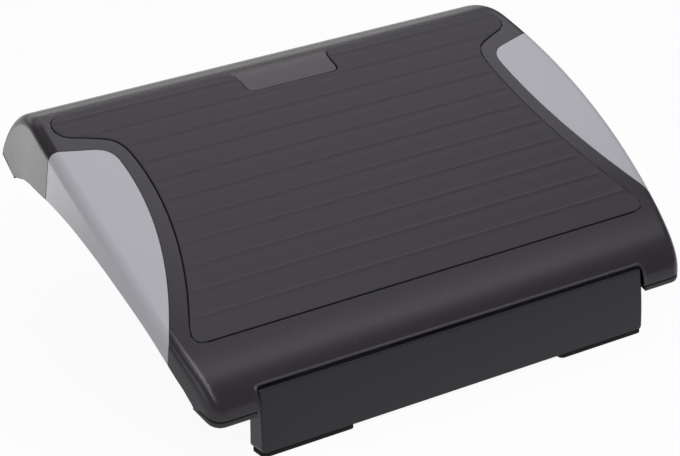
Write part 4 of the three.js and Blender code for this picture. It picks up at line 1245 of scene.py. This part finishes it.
def mixed(tree, share, first, second):
    return node(tree, "MixShader", {0: share, 1: first, 2: second})[0]


def seen_white(tree, shader, share):
    """A shader with plain white over its lit colour, for what the camera and shiny surfaces see."""
    path = node(tree, "LightPath")
    shiny = calculated(tree, "MAXIMUM", path["Is Glossy Ray"], path["Is Transmission Ray"])
    seen = calculated(tree, "MAXIMUM", path["Is Camera Ray"], shiny)
    amount = calculated(tree, "MULTIPLY", seen, share)
    return mixed(tree, amount, shader, node(tree, "Emission")[0])


def add_floor():
    bpy.ops.mesh.primitive_plane_add(size=FLOOR_SIZE, location=(0, 0, FLOOR_UP))
    floor = bpy.context.object
    floor.name = "floor"
    material = bpy.data.materials.new("floor_pale")
    material.use_nodes = True
    tree = material.node_tree
    tree.nodes.clear()
    diffuse = node(tree, "BsdfDiffuse", {"Color": (FLOOR_GREY, FLOOR_GREY, FLOOR_GREY, 1)})[0]
    node(tree, "OutputMaterial", {"Surface": seen_white(tree, diffuse, FLOOR_WHITENESS)})
    floor.data.materials.append(material)


def background(tree, strength):
    return node(tree, "Background", {"Color": (1, 1, 1, 1), "Strength": strength})[0]


def add_world():
    """Dim even light all round, which the camera sees as plain white."""
    world = bpy.data.worlds.new("studio")
    bpy.context.scene.world = world
    world.use_nodes = True
    tree = world.node_tree
    tree.nodes.clear()
    seen = node(tree, "LightPath")["Is Camera Ray"]
    light = mixed(tree, seen, background(tree, AMBIENT), background(tree, 1))
    node(tree, "OutputWorld", {"Surface": light})


def add_lights():
    """Softboxes above, behind, in front and to the left, and light that the floor sends up."""
    add_area("overhead", (1.1, 0.5, 1.9), size=(1.6, 1.4), power=10.4, tint=COOL)
    add_area("rear_high", (0.2, 1.6, 1.7), size=(2.4, 0.8), power=5.5, tint=WARM)
    add_area("rear_low", (0.3, 2.0, 0.7), size=(2.4, 0.5), power=5, tint=WARM)
    add_area("front_strip", (0.05, -0.72, 1.45), size=(2.8, 0.14), power=5.6, tint=COOL)
    add_area("front_left", (-0.3, -0.95, 1.25), size=(0.45, 1.1), power=8.5, tint=COOL)
    add_area("left", (-2.0, -0.5, 0.6), size=(1.0, 0.8), power=4.6, tint=COOL)
    place, above = (-0.55, 0.55, 0.02), (-0.55, 0.55, 1)
    glow = add_area("floor_glow", place, size=(0.5, 0.5), power=1.4, tint=WARM, target=above)
    glow.visible_camera = False


def fitted(piece, finish, body, source):
    """Gives a finer piece its finish and body, in place of the node that it follows."""
    dress(piece, finish)
    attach(piece, body)
    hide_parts(source)


def build():
    dress_nodes()
    shell = make_shell()
    fitted(shell, "shell", "platform", "top_shell")
    paint_tab(shell)
    fitted(make_mat(), "mat", "platform", "rubber_mat")
    for word, loop in zip(("right", "left"), panels(-PANEL_SEAM)):
        panel = make_panel(f"{word}_panel_skin", loop)
        fitted(panel, "panel", "platform", f"{word}_side_panel")
        fitted(make_strip(word), "strip", "platform", f"front_lip_strip_{word}")
        fitted(make_foot(word), "rubber", "base", f"front_foot_{word}")
    fitted(make_beam(), "base", "base", "base_front_beam")


def main():
    scene = bpy.context.scene
    scene.view_settings.view_transform = "Standard"
    add_camera()
    add_world()
    add_lights()
    add_floor()
    build()
    bpy.context.view_layer.update()


main()
